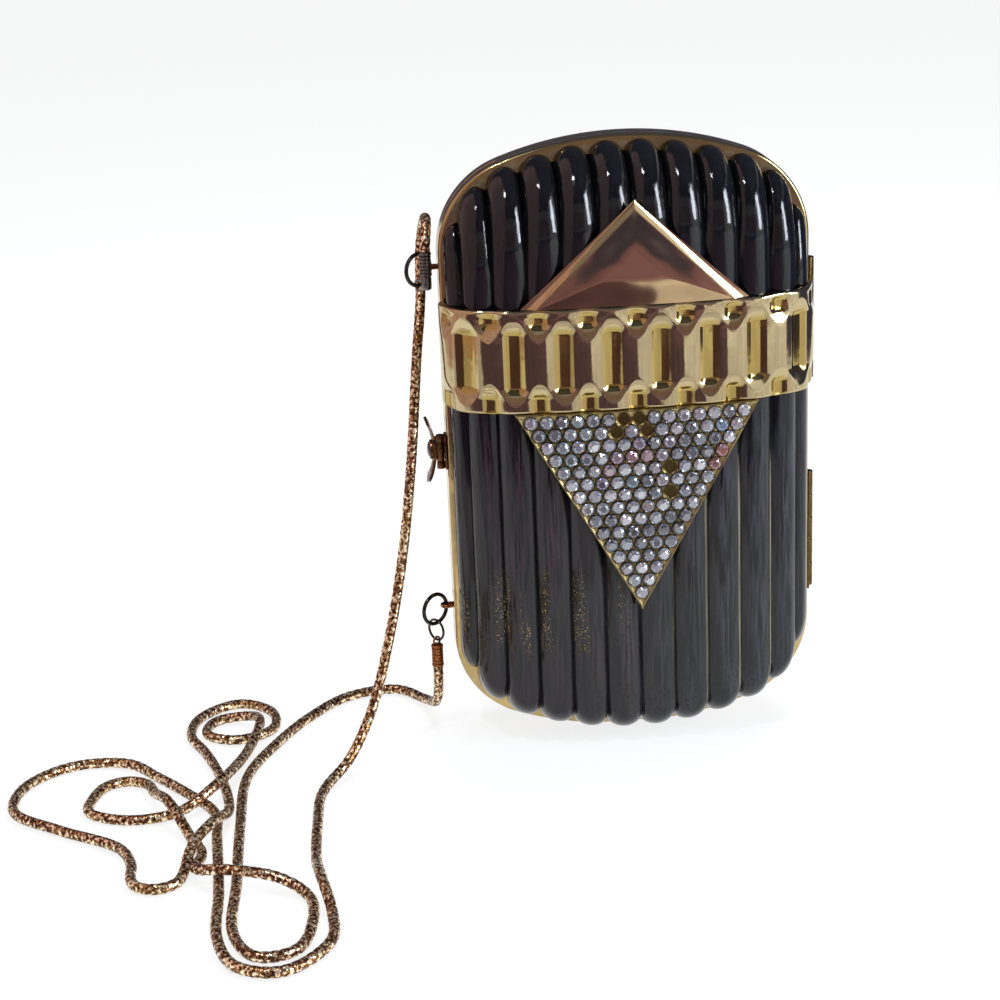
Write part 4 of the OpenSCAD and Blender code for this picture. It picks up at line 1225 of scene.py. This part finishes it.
# the bow: its thickness, its width at the waist and at the wings' widest, and the wings' lean
BOW_T = 0.9 * MM
BOW_WAIST = 3.6 * MM
BOW_WIDE = 7.6 * MM
BOW_FLARE = math.radians(12)


def wing(shape, matrix, reach):
    """Adds one wing of the bow, which widens from the waist to a point and has a ridge along its middle."""
    rows, columns = 20, 16
    # where the wing is at its widest and where its point begins, and how wide its soft edges are
    widest, shoulder, side_soft, end_soft = 0.85, 0.8, 0.22, 0.12
    # shares of the thickness
    flat_lift, edge_lift, ridge_lift, curl_lift = 0.45, 0.35, 0.35, 0.9
    top, under = [], []
    for j in range(rows + 1):
        t = j / rows
        half = (BOW_WAIST + (BOW_WIDE - BOW_WAIST) * min(1.0, t / widest) ** 1.3) / 2
        curl = BOW_T * curl_lift * t**3
        front, back = [], []
        for i in range(columns + 1):
            u = 2 * i / columns - 1
            inward = 1 - abs(u)
            end = t * reach * (shoulder + (1 - shoulder) * inward**0.9)
            edge = ease(inward / side_soft) * ease((1 - t) / end_soft)
            lift = BOW_T * (flat_lift + edge_lift * edge + ridge_lift * inward**1.5)
            front.append(matrix @ Vector((u * half, end, lift + curl)))
            back.append(matrix @ Vector((u * half, end, curl)))
        top.append(front)
        under.append(back)
    shape.dish(top, under)


def box_corners(y0, y1, z0, z1):
    """The corners of a rectangle on a side wall."""
    return [(y0, z0), (y1, z0), (y1, z1), (y0, z1)]


def build_bracket():
    """The clasp's fixed parts: the bracket with its ears, the pin, the spring and the catch's bead."""
    c = case()
    low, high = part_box("clasp_bracket")
    pin_low, pin_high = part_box("clasp_pin")
    pin_mid = (pin_low + pin_high) / 2
    plate_t, ear = 0.6 * MM, CLASP_BARREL / 2
    bronze = clasp_metal()
    shape = Shape()
    plate = box_corners(low[1], -c.half_gap * 2, low[2], high[2])
    shape.slab(plate, plate_t, 0.15 * MM, at(-c.half_w, 0, 0) @ ON_LEFT_SIDE)
    for z in (pin_low[2], pin_high[2] - EAR_L):
        shape.lathe(pin_profile(CLASP_BARREL, EAR_L, 0.2 * MM), at(pin_mid.x, pin_mid.y, z), 32)
        block = box_corners(pin_mid.y - ear, pin_mid.y + ear, z, z + EAR_L)
        shape.slab(block, CLASP_BARREL, 0.1 * MM, at(-c.half_w - plate_t / 2, 0, 0) @ ON_LEFT_SIDE)
    piece("clasp_bracket_cast", shape, bronze, "front_half", ["clasp_bracket"])

    pin, pin_r = Shape(), (pin_high[0] - pin_low[0]) / 2
    profile = pin_profile(pin_r, pin_high[2] - pin_low[2], pin_r / 2)
    pin.lathe(profile, at(pin_mid.x, pin_mid.y, pin_low[2]), 24)
    piece("clasp_pin_turned", pin, bronze, "front_half", ["clasp_pin"])

    low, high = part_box("clasp_spring")
    spring = Shape()
    strip = box_corners(low[1], high[1], low[2], high[2])
    spring.slab(strip, high[0] - low[0], 0.05 * MM, at(high[0], 0, 0) @ ON_LEFT_SIDE)
    piece("clasp_spring_strip", spring, spring_metal(), "front_half", ["clasp_spring"])

    low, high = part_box("clasp_catch")
    bead, bead_r = Shape(), (high[1] - low[1]) / 2
    profile = pin_profile(bead_r, high[2] - low[2], bead_r * 0.8, 5)
    bead.lathe(profile, at(-c.half_w, (low[1] + high[1]) / 2, low[2]), 28)
    piece("clasp_catch_bead", bead, bronze, "back_half", ["clasp_catch"])


def build_lever():
    """The bow-shaped lever: its knuckle, its body with a lip over the gap, its neck and two wings."""
    c = case()
    low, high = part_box("clasp_pin")
    pin_mid = (low + high) / 2
    low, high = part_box("clasp_bow")
    ring_low, ring_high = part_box("clasp_bezel")
    plate_x = pin_mid.x - CLASP_BARREL
    play = 0.08 * MM
    # the knuckle fills what the ears leave of the pin, with a little air at each end
    half_l = (BOW_WAIST + 2 * MM - 0.4 * MM) / 2
    lever = Shape()
    knuckle = pin_profile(CLASP_BARREL - play, half_l * 2, 0.15 * MM)
    lever.lathe(knuckle, at(pin_mid.x, pin_mid.y, c.mid_z - half_l), 32)
    back_y, lip_y = (pin_mid.y - BOW_WAIST) / 2, c.frame_d - 0.6 * MM
    body = rounded(box_corners(back_y, lip_y, -half_l, half_l), 0.9 * MM)
    lever.slab(body, BOW_T, 0.2 * MM, at(plate_x + play, 0, c.mid_z) @ ON_LEFT_SIDE)
    lip = box_corners(lip_y - BOW_T, lip_y, -half_l, half_l)
    lever.slab(lip, CLASP_BARREL + BOW_T, 0.2 * MM, at(pin_mid.x, 0, c.mid_z) @ ON_LEFT_SIDE)
    half_z = (ring_high[2] - ring_low[2]) / 2 + 0.1 * MM
    neck = box_corners(-BOW_WAIST / 2, BOW_WAIST / 2, -half_z, half_z)
    lever.slab(neck, BOW_T, 0.15 * MM, at(plate_x, 0, c.mid_z) @ ON_LEFT_SIDE)
    reach = (high[2] - low[2]) / 2 / math.cos(BOW_FLARE) - half_z
    for up in (1, -1):
        base = at(plate_x, 0, c.mid_z + up * half_z * 0.9) @ Matrix.Rotation(-up * BOW_FLARE, 4, "Y")
        wing(lever, base @ Matrix(((0, 0, -1, 0), (1, 0, 0, 0), (0, up, 0, 0), (0, 0, 0, 1))), reach)
    piece("clasp_bow_worn", lever, clasp_metal(), "clasp_lever", ["clasp_bow"], sharp=40.0)


def build_cabochon():
    """The bow's round dark stone in its bezel."""
    c = case()
    leftward = Matrix.Rotation(-math.pi / 2, 4, "Y")
    low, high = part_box("clasp_bezel")
    out_r, tall = (high[2] - low[2]) / 2, high[0] - low[0]
    wall, edge = 0.45 * MM, 0.16 * MM
    in_r = out_r - wall
    profile = [
        (in_r, 0), (out_r, 0), (out_r, tall - edge), (out_r - edge * 0.3, tall - edge * 0.3),
        (out_r - edge, tall), (in_r + edge, tall), (in_r, tall - edge),
    ]
    collar = Shape()
    collar.ring(profile, at(high[0], 0, c.mid_z) @ leftward, 72)
    piece("clasp_bezel_turned", collar, clasp_metal(), "clasp_lever", ["clasp_bezel"])

    low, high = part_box("clasp_cabochon")
    base_r, tall = (high[2] - low[2]) / 2, high[0] - low[0]
    # the dome stands on a straight girdle, and its pole is closed by a tiny disc
    girdle, pole, steps = 0.25, 0.02, 12
    dome = [(base_r * math.cos(a), tall * (girdle + (1 - girdle) * math.sin(a)))
            for a in (math.pi / 2 * k / steps for k in range(steps))]
    stone = Shape()
    stone.lathe([(base_r, 0.0), *dome, (base_r * pole, tall)], at(high[0], 0, c.mid_z) @ leftward, 56)
    piece("clasp_cabochon_polished", stone, dark_stone(), "clasp_lever", ["clasp_cabochon"])


def ring_facts(level):
    """A strap ring's middle, the radius of its wire's centreline, and the direction it faces."""
    size = strap_sizes()
    low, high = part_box(f"strap_ring_{level}")
    radius = (high[2] - low[2] - size.ring_wire) / 2
    return (low + high) / 2, radius, Vector((math.sin(size.ring_turn), -math.cos(size.ring_turn), 0.0))


def wire_turn(middle, angle):
    """A matrix that stands a turned ring up at a point, turned about the vertical."""
    return at(*middle) @ Matrix.Rotation(angle, 4, "Z") @ Matrix.Rotation(math.pi / 2, 4, "X")


def build_rings():
    """The lugs on the back frame, the two strap rings, and the small link under the lower ring."""
    size = strap_sizes()
    c = case()
    # a lug's strip and its foot on the frame
    strip, foot_t, steps = 0.8 * MM, 0.9 * MM, 16
    gunmetal, copper = ring_metal(), copper_metal()
    for level in ("upper", "lower"):
        middle, radius, _facing = ring_facts(level)
        hoop = Shape()
        hoop.ring(circle_profile(radius, size.ring_wire, 24), wire_turn(middle, size.ring_turn), 96)
        piece(f"strap_ring_{level}_wire", hoop, gunmetal, f"{level}_ring",
              [f"strap_ring_{level}"])

        low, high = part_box(f"ring_lug_{level}")
        eye_r, half_h, eye_y = (high[1] - low[1]) / 2, (high[2] - low[2]) / 2, (low[1] + high[1]) / 2
        # the eye's strip is round at its sides and flatter over its top and under it
        loop = []
        for k in range(steps):
            across, up = math.cos(math.tau * k / steps), math.sin(math.tau * k / steps)
            up = math.copysign(abs(up) ** 0.6, up)
            loop.append((eye_r - strip / 2 + across * strip / 2, half_h + half_h * up))
        lug = Shape()
        lug.ring(loop, at(low[0] + eye_r, eye_y, low[2]), 48)
        foot = eye_r * 0.8
        plate = box_corners(eye_y - foot, eye_y + foot, low[2], high[2])
        lug.slab(plate, foot_t, 0.25 * MM, at(-c.half_w, 0, 0) @ ON_LEFT_SIDE)
        piece(f"ring_lug_{level}_soldered", lug, copper, "back_half",
              [f"ring_lug_{level}"])

    low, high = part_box("lower_link")
    small = Shape()
    profile = circle_profile((high[2] - low[2] - size.link_wire) / 2, size.link_wire, 20)
    small.ring(profile, wire_turn((low + high) / 2, size.ring_turn - math.pi / 2), 72)
    return piece("lower_link_wire", small, gunmetal, "back_half", ["lower_link"])


# length and radius of an end cap's barrel, length of the upper one's neck, and the wire of their eyes
CAP_L = 6.5 * MM
CAP_R = 1.7 * MM
NECK_L = 4 * MM
EYE_WIRE = 0.6 * MM


def cap_facts():
    """Each end cap: its eye's middle, hole and turn, its barrel's middle line and foot, and its neck."""
    size = strap_sizes()
    middle, radius, facing = ring_facts("upper")
    # the upper cap's barrel stands beside its eye, in front of the ring
    eye = middle - Vector((0, 0, radius))
    hole = size.ring_wire / 2 + 0.62 * MM
    line = eye + (hole + CAP_R + 0.05 * MM) * facing
    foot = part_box("end_cap_upper")[1][2] - CAP_L
    upper = SimpleNamespace(eye=eye, hole=hole, turn=size.ring_turn - math.pi / 2, x=line.x, y=line.y,
                            foot=foot, neck=NECK_L)
    # the lower one hangs under its link
    low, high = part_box("lower_link")
    middle = (low + high) / 2
    hole = size.link_wire / 2 + 0.5 * MM
    eye = Vector((middle.x, middle.y, low[2] + size.link_wire + 0.1 * MM - hole))
    lower = SimpleNamespace(eye=eye, hole=hole, turn=size.ring_turn, x=middle.x, y=middle.y,
                            foot=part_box("end_cap_lower")[0][2], neck=0)
    return {"upper": upper, "lower": lower}


def build_caps():
    """The strap's end caps: ribbed barrels with a cast eye."""
    # ribs, of which the outermost are thicker, and the depth of the grooves between them
    ribs, groove = 7, 0.22 * MM
    barrel = [(CAP_R - groove, 0.0)]
    for k in range(ribs):
        z0, z1 = CAP_L * k / ribs, CAP_L * (k + 1) / ribs
        r = CAP_R if k in (0, ribs - 1) else CAP_R * 0.95
        barrel += [(r - groove, z0 + groove * 0.2), (r, z0 + groove)]
        barrel += [(r, z1 - groove), (r - groove, z1 - groove * 0.2)]
    barrel.append((CAP_R - groove, CAP_L))
    finishes = {"upper": (cap_metal, "ring_gunmetal"), "lower": (copper_metal, "cap_copper")}
    made = []
    for level, cap in cap_facts().items():
        shape = Shape()
        shape.lathe(barrel, at(cap.x, cap.y, cap.foot), 44)
        if cap.neck:
            neck = pin_profile(CAP_R - groove, cap.neck, CAP_R * 0.4)
            shape.lathe(neck, at(cap.x, cap.y, cap.foot - cap.neck + groove), 36)
        shape.ring(circle_profile(cap.hole + EYE_WIRE / 2, EYE_WIRE, 16), wire_turn(cap.eye, cap.turn), 48)
        finish, slot = finishes[level]
        made.append(piece(f"end_cap_{level}_ribbed", shape, finish(), "back_half",
                          [f"end_cap_{level}"]))
    return made


# the strap's route in millimetres: over the ring and down behind it, round its loops on the table, and back
# to the lower cap
STRAP_ROUTE = (
    (-52.9, -1.8, 142.8), (-52.3, 1.7, 146.1), (-52.3, 6.3, 146.3), (-52.8, 9.9, 143), (-53.5, 10.5, 138.6),
    (-54.1, 9.2, 132), (-54.4, 6.6, 125), (-56.9, -1, 108.7), (-60, -6, 81.8), (-64, -8.5, 55),
    (-69, -13.5, 34), (-75, -19.5, 16), (-82, -26.5, 5), (-89.5, -37, 1.4), (-92, -58, 1.4),
    (-92.8, -78, 1.6), (-92, -92, 4.6), (-89.8, -106, 1.6), (-90.8, -120, 1.4), (-102, -131.5, 1.4),
    (-112.5, -128, 1.4), (-117.2, -115, 1.4), (-117.2, -90, 1.4), (-118, -60, 1.4), (-118.6, -46, 1.4),
    (-126, -33, 1.4), (-134.5, -21, 1.4), (-143, -10.5, 1.4), (-158, -9.5, 1.4), (-170, -20, 1.4),
    (-172, -36, 1.4), (-159, -49, 1.4), (-143, -62, 1.4), (-139.3, -72, 1.4), (-139.3, -79.8, 1.4),
    (-137.4, -84.5, 1.4), (-132.7, -86.4, 1.4), (-128, -84.5, 1.4), (-126.1, -79.8, 1.6),
    (-125.2, -74.5, 2.8), (-123.6, -69, 4.6), (-118.4, -58.5, 5.4), (-115, -46, 1.8), (-116.8, -27, 1.4),
    (-121.5, -8, 1.4), (-126, 5, 1.4), (-123.4, 17.5, 1.4), (-112.5, 25.5, 1.4), (-103, 18, 1.4),
    (-103, 5, 1.4), (-113, -0.4, 1.4), (-121.6, 5, 1.4), (-118.6, 14.4, 1.4), (-109.5, 13.8, 2.4),
    (-106.2, 3.6, 5), (-109.3, -9.5, 3), (-113.2, -23.5, 4), (-118.2, -37.5, 5.6), (-127.5, -44.5, 2),
    (-141, -46.4, 1.4), (-152, -40, 1.4), (-151.4, -31.5, 1.4), (-148.2, -24.2, 1.4), (-142.2, -22, 1.4),
    (-137, -25.2, 1.5), (-135, -32.5, 2.4), (-130.4, -45.5, 5.4), (-125, -58.5, 1.6), (-121.6, -69, 1.4),
    (-123.2, -79.4, 2.6), (-115.5, -86, 5.2), (-103, -88.5, 3.4), (-95.4, -95.5, 1.4), (-94.6, -109, 1.4),
    (-99, -122.5, 1.4), (-108, -124, 1.4), (-113.4, -113, 1.4), (-112.8, -86, 1.4), (-112, -55, 1.4),
    (-110, -25, 1.4), (-102.4, -6, 1.4), (-92, 12, 1.4), (-80, 25, 1.4), (-66, 27.5, 1.4), (-58.5, 17, 2.2),
    (-55.6, 5.5, 6.4),
)
# how often the line is averaged, and how many samples stay put at each end
STRAP_EASING = 60
STRAP_HELD = 14
# the cord's radius over its strands and the depth between them, as shares of half its diameter
STRAP_BULGE = 1.02
STRAND_DEPTH = 0.065


def smooth_line(points, step):
    """A smooth line through the points, with samples about a step apart."""
    ends = [points[0] * 2 - points[1], *points, points[-1] * 2 - points[-2]]
    line = []
    for p0, p1, p2, p3 in zip(ends, ends[1:], ends[2:], ends[3:]):
        t1 = (p1 - p0).length ** 0.5
        t2 = t1 + (p2 - p1).length ** 0.5
        t3 = t2 + (p3 - p2).length ** 0.5
        count = max(2, round((p2 - p1).length / step))
        for k in range(count):
            t = t1 + (t2 - t1) * k / count
            a1 = p0 * ((t1 - t) / t1) + p1 * (t / t1)
            a2 = p1 * ((t2 - t) / (t2 - t1)) + p2 * ((t - t1) / (t2 - t1))
            a3 = p2 * ((t3 - t) / (t3 - t2)) + p3 * ((t - t2) / (t3 - t2))
            b1 = a1 * ((t2 - t) / t2) + a2 * (t / t2)
            b2 = a2 * ((t3 - t) / (t3 - t1)) + a3 * ((t - t1) / (t3 - t1))
            line.append(b1 * ((t2 - t) / (t2 - t1)) + b2 * ((t - t1) / (t2 - t1)))
    line.append(points[-1])
    return line


def even_line(line, step):
    """The same line with its samples evenly spaced."""
    reach = [0.0]
    for a, b in zip(line, line[1:]):
        reach.append(reach[-1] + (b - a).length)
    count = max(2, round(reach[-1] / step))
    even, k = [], 0
    for i in range(count + 1):
        along = reach[-1] * i / count
        while k < len(line) - 2 and reach[k + 1] < along:
            k += 1
        share = (along - reach[k]) / max(reach[k + 1] - reach[k], 1e-12)
        even.append(line[k].lerp(line[k + 1], min(max(share, 0.0), 1.0)))
    return even


def eased_line(line, passes, hold):
    """Opens the tightest bends a little by averaging neighbours, holding each end."""
    for _ in range(passes):
        middle = [(a + b * 2 + d) / 4 for a, b, d in zip(line[hold:], line[hold + 1 :], line[hold + 2 :])]
        line = line[: hold + 1] + middle[: len(line) - 2 * hold - 2] + line[len(line) - hold - 1 :]
    return line


def strap_line(step):
    """The strap's centreline from the upper cap's mouth to the lower cap's."""
    caps = cap_facts()
    upper, lower = caps["upper"], caps["lower"]
    first = Vector((upper.x, upper.y, upper.foot + CAP_L))
    last = Vector((lower.x, lower.y, lower.foot))
    below = last - Vector((0, 0, strap_sizes().diameter))
    points = [first, *(Vector(p) * MM for p in STRAP_ROUTE), below, last]
    line = eased_line(even_line(smooth_line(points, step), step), STRAP_EASING, STRAP_HELD)
    for point in line:
        point.z = max(point.z, strap_sizes().diameter * STRAP_BULGE / 2)
    return even_line(line, step)


def carried(line):
    """Each sample of a line with two side directions, carried along without twist."""
    side = Vector((1, 0, 0))
    found = []
    for i, here in enumerate(line):
        ahead = (line[min(i + 1, len(line) - 1)] - line[max(i - 1, 0)]).normalized()
        side = (side - ahead * side.dot(ahead)).normalized()
        found.append((here, side, ahead.cross(side)))
    return found


def build_strap(ends):
    """The woven strap, whose strands cross in slanting stitches. ends, the pieces on it, is not used."""
    size = strap_sizes()
    step, sides, strands = 0.3 * MM, 16, 4
    # how far a strand that goes under another dips there
    dip = 0.4
    line = strap_line(step)
    turn = math.tau / (size.strand * 4)
    rows = []
    for i, (here, side, other) in enumerate(carried(line)):
        row = []
        along = i * step * turn
        for k in range(sides):
            a = math.tau * k / sides
            one = math.cos(strands * a + along * 2)
            two = math.cos(strands * a - along * 2 + math.pi / 2)
            over = 0.5 + 0.5 * math.cos(along * 4 + strands * a / 2)
            lift = max(one * (1 - dip + dip * over), two * (1 - dip * over))
            r = size.diameter / 2 * (STRAP_BULGE + STRAND_DEPTH * (lift - 1))
            row.append(here + side * (r * math.cos(a)) + other * (r * math.sin(a)))
        rows.append(row)
    shape = Shape()
    shape.grid(rows, wrap_columns=True)
    m = sides * (len(rows) - 1)
    shape.faces += [list(range(sides)), list(range(m, m + sides))]
    obj = piece("woven_strap_cord", shape, woven_metal(), "back_half", ["chain_strap"],
                sharp=80.0)
    path = even_line(line, 1.2 * MM)


# the photograph's camera: its place, which way it looks, and its lens in millimetres
CAMERA_PLACE = (-91.0 * MM, -600.6 * MM, 269.3 * MM)
CAMERA_TURN = math.radians(5.26)
CAMERA_DIP = math.radians(18.52)
CAMERA_ROLL = math.radians(-2.31)
CAMERA_LENS = 82.8
SENSOR_WIDTH = 36.0


def build_camera():
    """The camera at the photograph's angle."""
    data = bpy.data.cameras.new("photo_camera")
    data.lens = CAMERA_LENS
    data.sensor_width = SENSOR_WIDTH
    data.clip_start, data.clip_end = 0.02, 20.0
    camera = bpy.data.objects.new("photo_camera", data)
    facing = Vector((math.sin(CAMERA_TURN), math.cos(CAMERA_TURN), 0.0))
    level = Vector((math.cos(CAMERA_TURN), -math.sin(CAMERA_TURN), 0.0))
    ahead = facing * math.cos(CAMERA_DIP) - Vector((0, 0, math.sin(CAMERA_DIP)))
    upright = level.cross(ahead)
    right = level * math.cos(CAMERA_ROLL) + upright * math.sin(CAMERA_ROLL)
    up = upright * math.cos(CAMERA_ROLL) - level * math.sin(CAMERA_ROLL)
    camera.matrix_world = Matrix.Translation(CAMERA_PLACE) @ Matrix((right, up, -ahead)).transposed().to_4x4()
    bpy.context.scene.collection.objects.link(camera)
    bpy.context.scene.camera = camera


def soft_lamp(name, place, target, wide, tall, power, colour="#ffffff", mirrored=True):
    """A rectangular lamp at a place, aimed at a target. One that isn't mirrored leaves no highlight."""
    data = bpy.data.lights.new(name, "AREA")
    data.shape = "RECTANGLE"
    data.size, data.size_y = wide, tall
    data.energy = power
    data.color = linear(colour)
    lamp = bpy.data.objects.new(name, data)
    lamp.location = place
    lamp.visible_glossy = mirrored
    lamp.rotation_mode = "QUATERNION"
    lamp.rotation_quaternion = (Vector(target) - Vector(place)).to_track_quat("-Z", "Y")
    bpy.context.scene.collection.objects.link(lamp)


def card(name, centre, wide, deep, turn, finish, shown=False):
    """A sheet of stage card. turn is its tilt about X and then its turn about Z, in degrees."""
    mesh = bpy.data.meshes.new(name)
    x, y = wide / 2, deep / 2
    mesh.from_pydata([(-x, -y, 0), (x, -y, 0), (x, y, 0), (-x, y, 0)], [], [[0, 1, 2, 3]])
    mesh.materials.append(finish)
    sheet = bpy.data.objects.new(name, mesh)
    sheet.location = centre
    sheet.rotation_euler = (math.radians(turn[0]), 0, math.radians(turn[1]))
    # a card that isn't shown is there for the mirrors alone, and keeps no light off the floor
    sheet.visible_camera = sheet.visible_diffuse = sheet.visible_shadow = shown
    bpy.context.scene.collection.objects.link(sheet)


def build_world():
    """Soft light from all round, and a white ground for the camera, the mirrors and the glass."""
    world = bpy.data.worlds.new("studio")
    bpy.context.scene.world = world
    world.use_nodes = True
    tree = world.node_tree
    tree.nodes.clear()
    soft = add(tree, "ShaderNodeBackground", {"Color": linear("#eef0f4"), "Strength": 0.75})
    white = add(tree, "ShaderNodeBackground", {"Color": linear("#ffffff"), "Strength": 1.0})
    both = add(tree, "ShaderNodeMixShader", (seen_rays(tree), soft, white))
    add(tree, "ShaderNodeOutputWorld", {"Surface": both})


# tones of the cards that the gloss and the gold mirror
CARD_TONES = {
    "card_grey": "#5a5a68", "card_mauve": "#57434f", "card_dark_plum": "#46455f", "card_rose": "#b0908a",
    "card_slate": "#b8b8cc", "card_beige": "#c4bebc", "card_plum": "#8a6a78",
}
# each card's middle, width, depth, tilt and turn, and tone: those that lie on the floor are 0.4 mm above it
CARDS = {
    "card_above": ((0.0, -0.25, 0.95), 2.6, 2.8, (0, 0), "card_grey"),
    "card_front": ((-0.2, -1.7, 0.3), 2.4, 0.6, (90, 0), "card_rose"),
    "card_front_high": ((-0.2, -1.7, 0.8), 2.4, 0.4, (90, 0), "card_beige"),
    "card_band": ((-0.2, -0.36, 0.0004), 0.54, 0.24, (0, 0), "card_mauve"),
    "card_right_near": ((0.25, -0.33, 0.0004), 0.36, 0.18, (0, 0), "card_beige"),
    "card_crest": ((-0.06, -0.65, 0.0004), 0.78, 0.34, (0, 0), "card_plum"),
    "card_back": ((0, 1.2, 0.5), 2.4, 1.0, (90, 0), "card_grey"),
    "card_far": ((-0.3, -0.95, 0.0004), 1.8, 0.26, (0, 0), "card_dark_plum"),
    "card_farther": ((-0.3, -1.39, 0.0004), 2.2, 0.62, (0, 0), "card_slate"),
    "card_at_foot": ((0, -0.19, 0.0004), 1.0, 0.1, (0, 0), "card_beige"),
    "card_left": ((-0.3, -0.1, 0.49), 0.8, 0.9, (90, 90), "card_rose"),
    "card_right": ((0.32, 0.12, 0.17), 0.44, 0.28, (90, -90), "card_dark_plum"),
}


def build_stage():
    """The pale floor, the cards that the gloss and the gold mirror, and the lamps."""
    build_world()
    card("floor", (0, 0.4, -0.0002), 6.0, 6.0, (0, 0), pale_floor(), True)
    finishes = {name: plain_card(name, code) for name, code in CARD_TONES.items()}
    for name, (middle, wide, deep, turn, finish) in CARDS.items():
        card(name, middle, wide, deep, turn, finishes[finish])
    soft_lamp("lamp_window", (0.85, -0.6, 0.42), (0, 0, 0.14), 0.3, 0.66, 14, "#eaf2ff")
    soft_lamp("lamp_spark", (-0.3, -0.35, 0.9), (0, 0, 0.14), 0.05, 0.05, 3)
    soft_lamp("lamp_top", (0.15, 0.25, 0.8), (0, 0, 0.05), 0.5, 0.4, 6, mirrored=False)
    bpy.context.scene.view_settings.view_transform = "Standard"


class CASE_OT_camera(bpy.types.Operator):
    """Adds the camera at the photograph's angle"""

    bl_idname = "case.camera"
    bl_label = "Camera"

    def execute(self, context):
        build_camera()
        return {"FINISHED"}


class CASE_OT_frames(bpy.types.Operator):
    """Adds the two gold frames"""

    bl_idname = "case.frames"
    bl_label = "Gold frames"

    def execute(self, context):
        for side in SIDES:
            build_frame(side)
        return {"FINISHED"}


class CASE_OT_shells(bpy.types.Operator):
    """Adds the fluted shells and their linings"""

    bl_idname = "case.shells"
    bl_label = "Fluted shells"

    def execute(self, context):
        for side in SIDES:
            build_shell(side)
            build_lining(side)
        return {"FINISHED"}


class CASE_OT_band(bpy.types.Operator):
    """Adds the stamped gold band across the front"""

    bl_idname = "case.band"
    bl_label = "Stamped band"

    def execute(self, context):
        build_band()
        return {"FINISHED"}


class CASE_OT_crest(bpy.types.Operator):
    """Adds the polished triangle above the band"""

    bl_idname = "case.crest"
    bl_label = "Polished triangle"

    def execute(self, context):
        build_crest()
        return {"FINISHED"}


class CASE_OT_stones(bpy.types.Operator):
    """Adds the tray below the band and the stones set in it"""

    bl_idname = "case.stones"
    bl_label = "Set stones"

    def execute(self, context):
        build_tray()
        build_stones()
        return {"FINISHED"}


class CASE_OT_hinges(bpy.types.Operator):
    """Adds the two knuckle hinges"""

    bl_idname = "case.hinges"
    bl_label = "Hinges"

    def execute(self, context):
        build_hinges()
        return {"FINISHED"}


class CASE_OT_clasp(bpy.types.Operator):
    """Adds the clasp with its bow-shaped lever"""

    bl_idname = "case.clasp"
    bl_label = "Clasp"

    def execute(self, context):
        build_bracket()
        build_lever()
        build_cabochon()
        return {"FINISHED"}


class CASE_OT_strap(bpy.types.Operator):
    """Adds the strap's rings, end caps and woven cord"""

    bl_idname = "case.strap"
    bl_label = "Strap"

    def execute(self, context):
        link = build_rings()
        build_strap([*build_caps(), link])
        return {"FINISHED"}


class CASE_OT_stage(bpy.types.Operator):
    """Adds the floor, the cards, the world and the lamps"""

    bl_idname = "case.stage"
    bl_label = "Stage"

    def execute(self, context):
        build_stage()
        return {"FINISHED"}


STEPS = (CASE_OT_camera, CASE_OT_strap, CASE_OT_frames, CASE_OT_shells, CASE_OT_band, CASE_OT_crest,
         CASE_OT_stones, CASE_OT_hinges, CASE_OT_clasp, CASE_OT_stage)
GROUPS = {"case_sizes": CaseSizes, "case_ornaments": OrnamentSizes, "case_strap": StrapSizes,
          "case_finishes": Finishes}


class CASE_PT_pieces(bpy.types.Panel):
    """Lists the operators that build the case"""

    bl_idname = "CASE_PT_pieces"
    bl_label = "Minaudiere"
    bl_space_type = "VIEW_3D"
    bl_region_type = "UI"
    bl_category = "Minaudiere"

    def draw(self, context):
        for step in STEPS:
            self.layout.operator(step.bl_idname)
        for key, group in GROUPS.items():
            box = self.layout.box()
            for name in group.__annotations__:
                box.prop(getattr(context.scene, key), name)


def register():
    """Registers the classes and hangs the property groups on the scene."""
    for cls in (*GROUPS.values(), *STEPS, CASE_PT_pieces):
        bpy.utils.register_class(cls)
    for key, group in GROUPS.items():
        setattr(bpy.types.Scene, key, PointerProperty(type=group))


def unregister():
    """Takes back what register did."""
    for key in GROUPS:
        delattr(bpy.types.Scene, key)
    for cls in reversed((*GROUPS.values(), *STEPS, CASE_PT_pieces)):
        bpy.utils.unregister_class(cls)


def main():
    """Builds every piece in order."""
    register()
    bpy.ops.case.camera()
    bpy.ops.case.strap()
    bpy.ops.case.frames()
    bpy.ops.case.shells()
    bpy.ops.case.band()
    bpy.ops.case.crest()
    bpy.ops.case.stones()
    bpy.ops.case.hinges()
    bpy.ops.case.clasp()
    bpy.ops.case.stage()


if __name__ == "__main__":
    main()
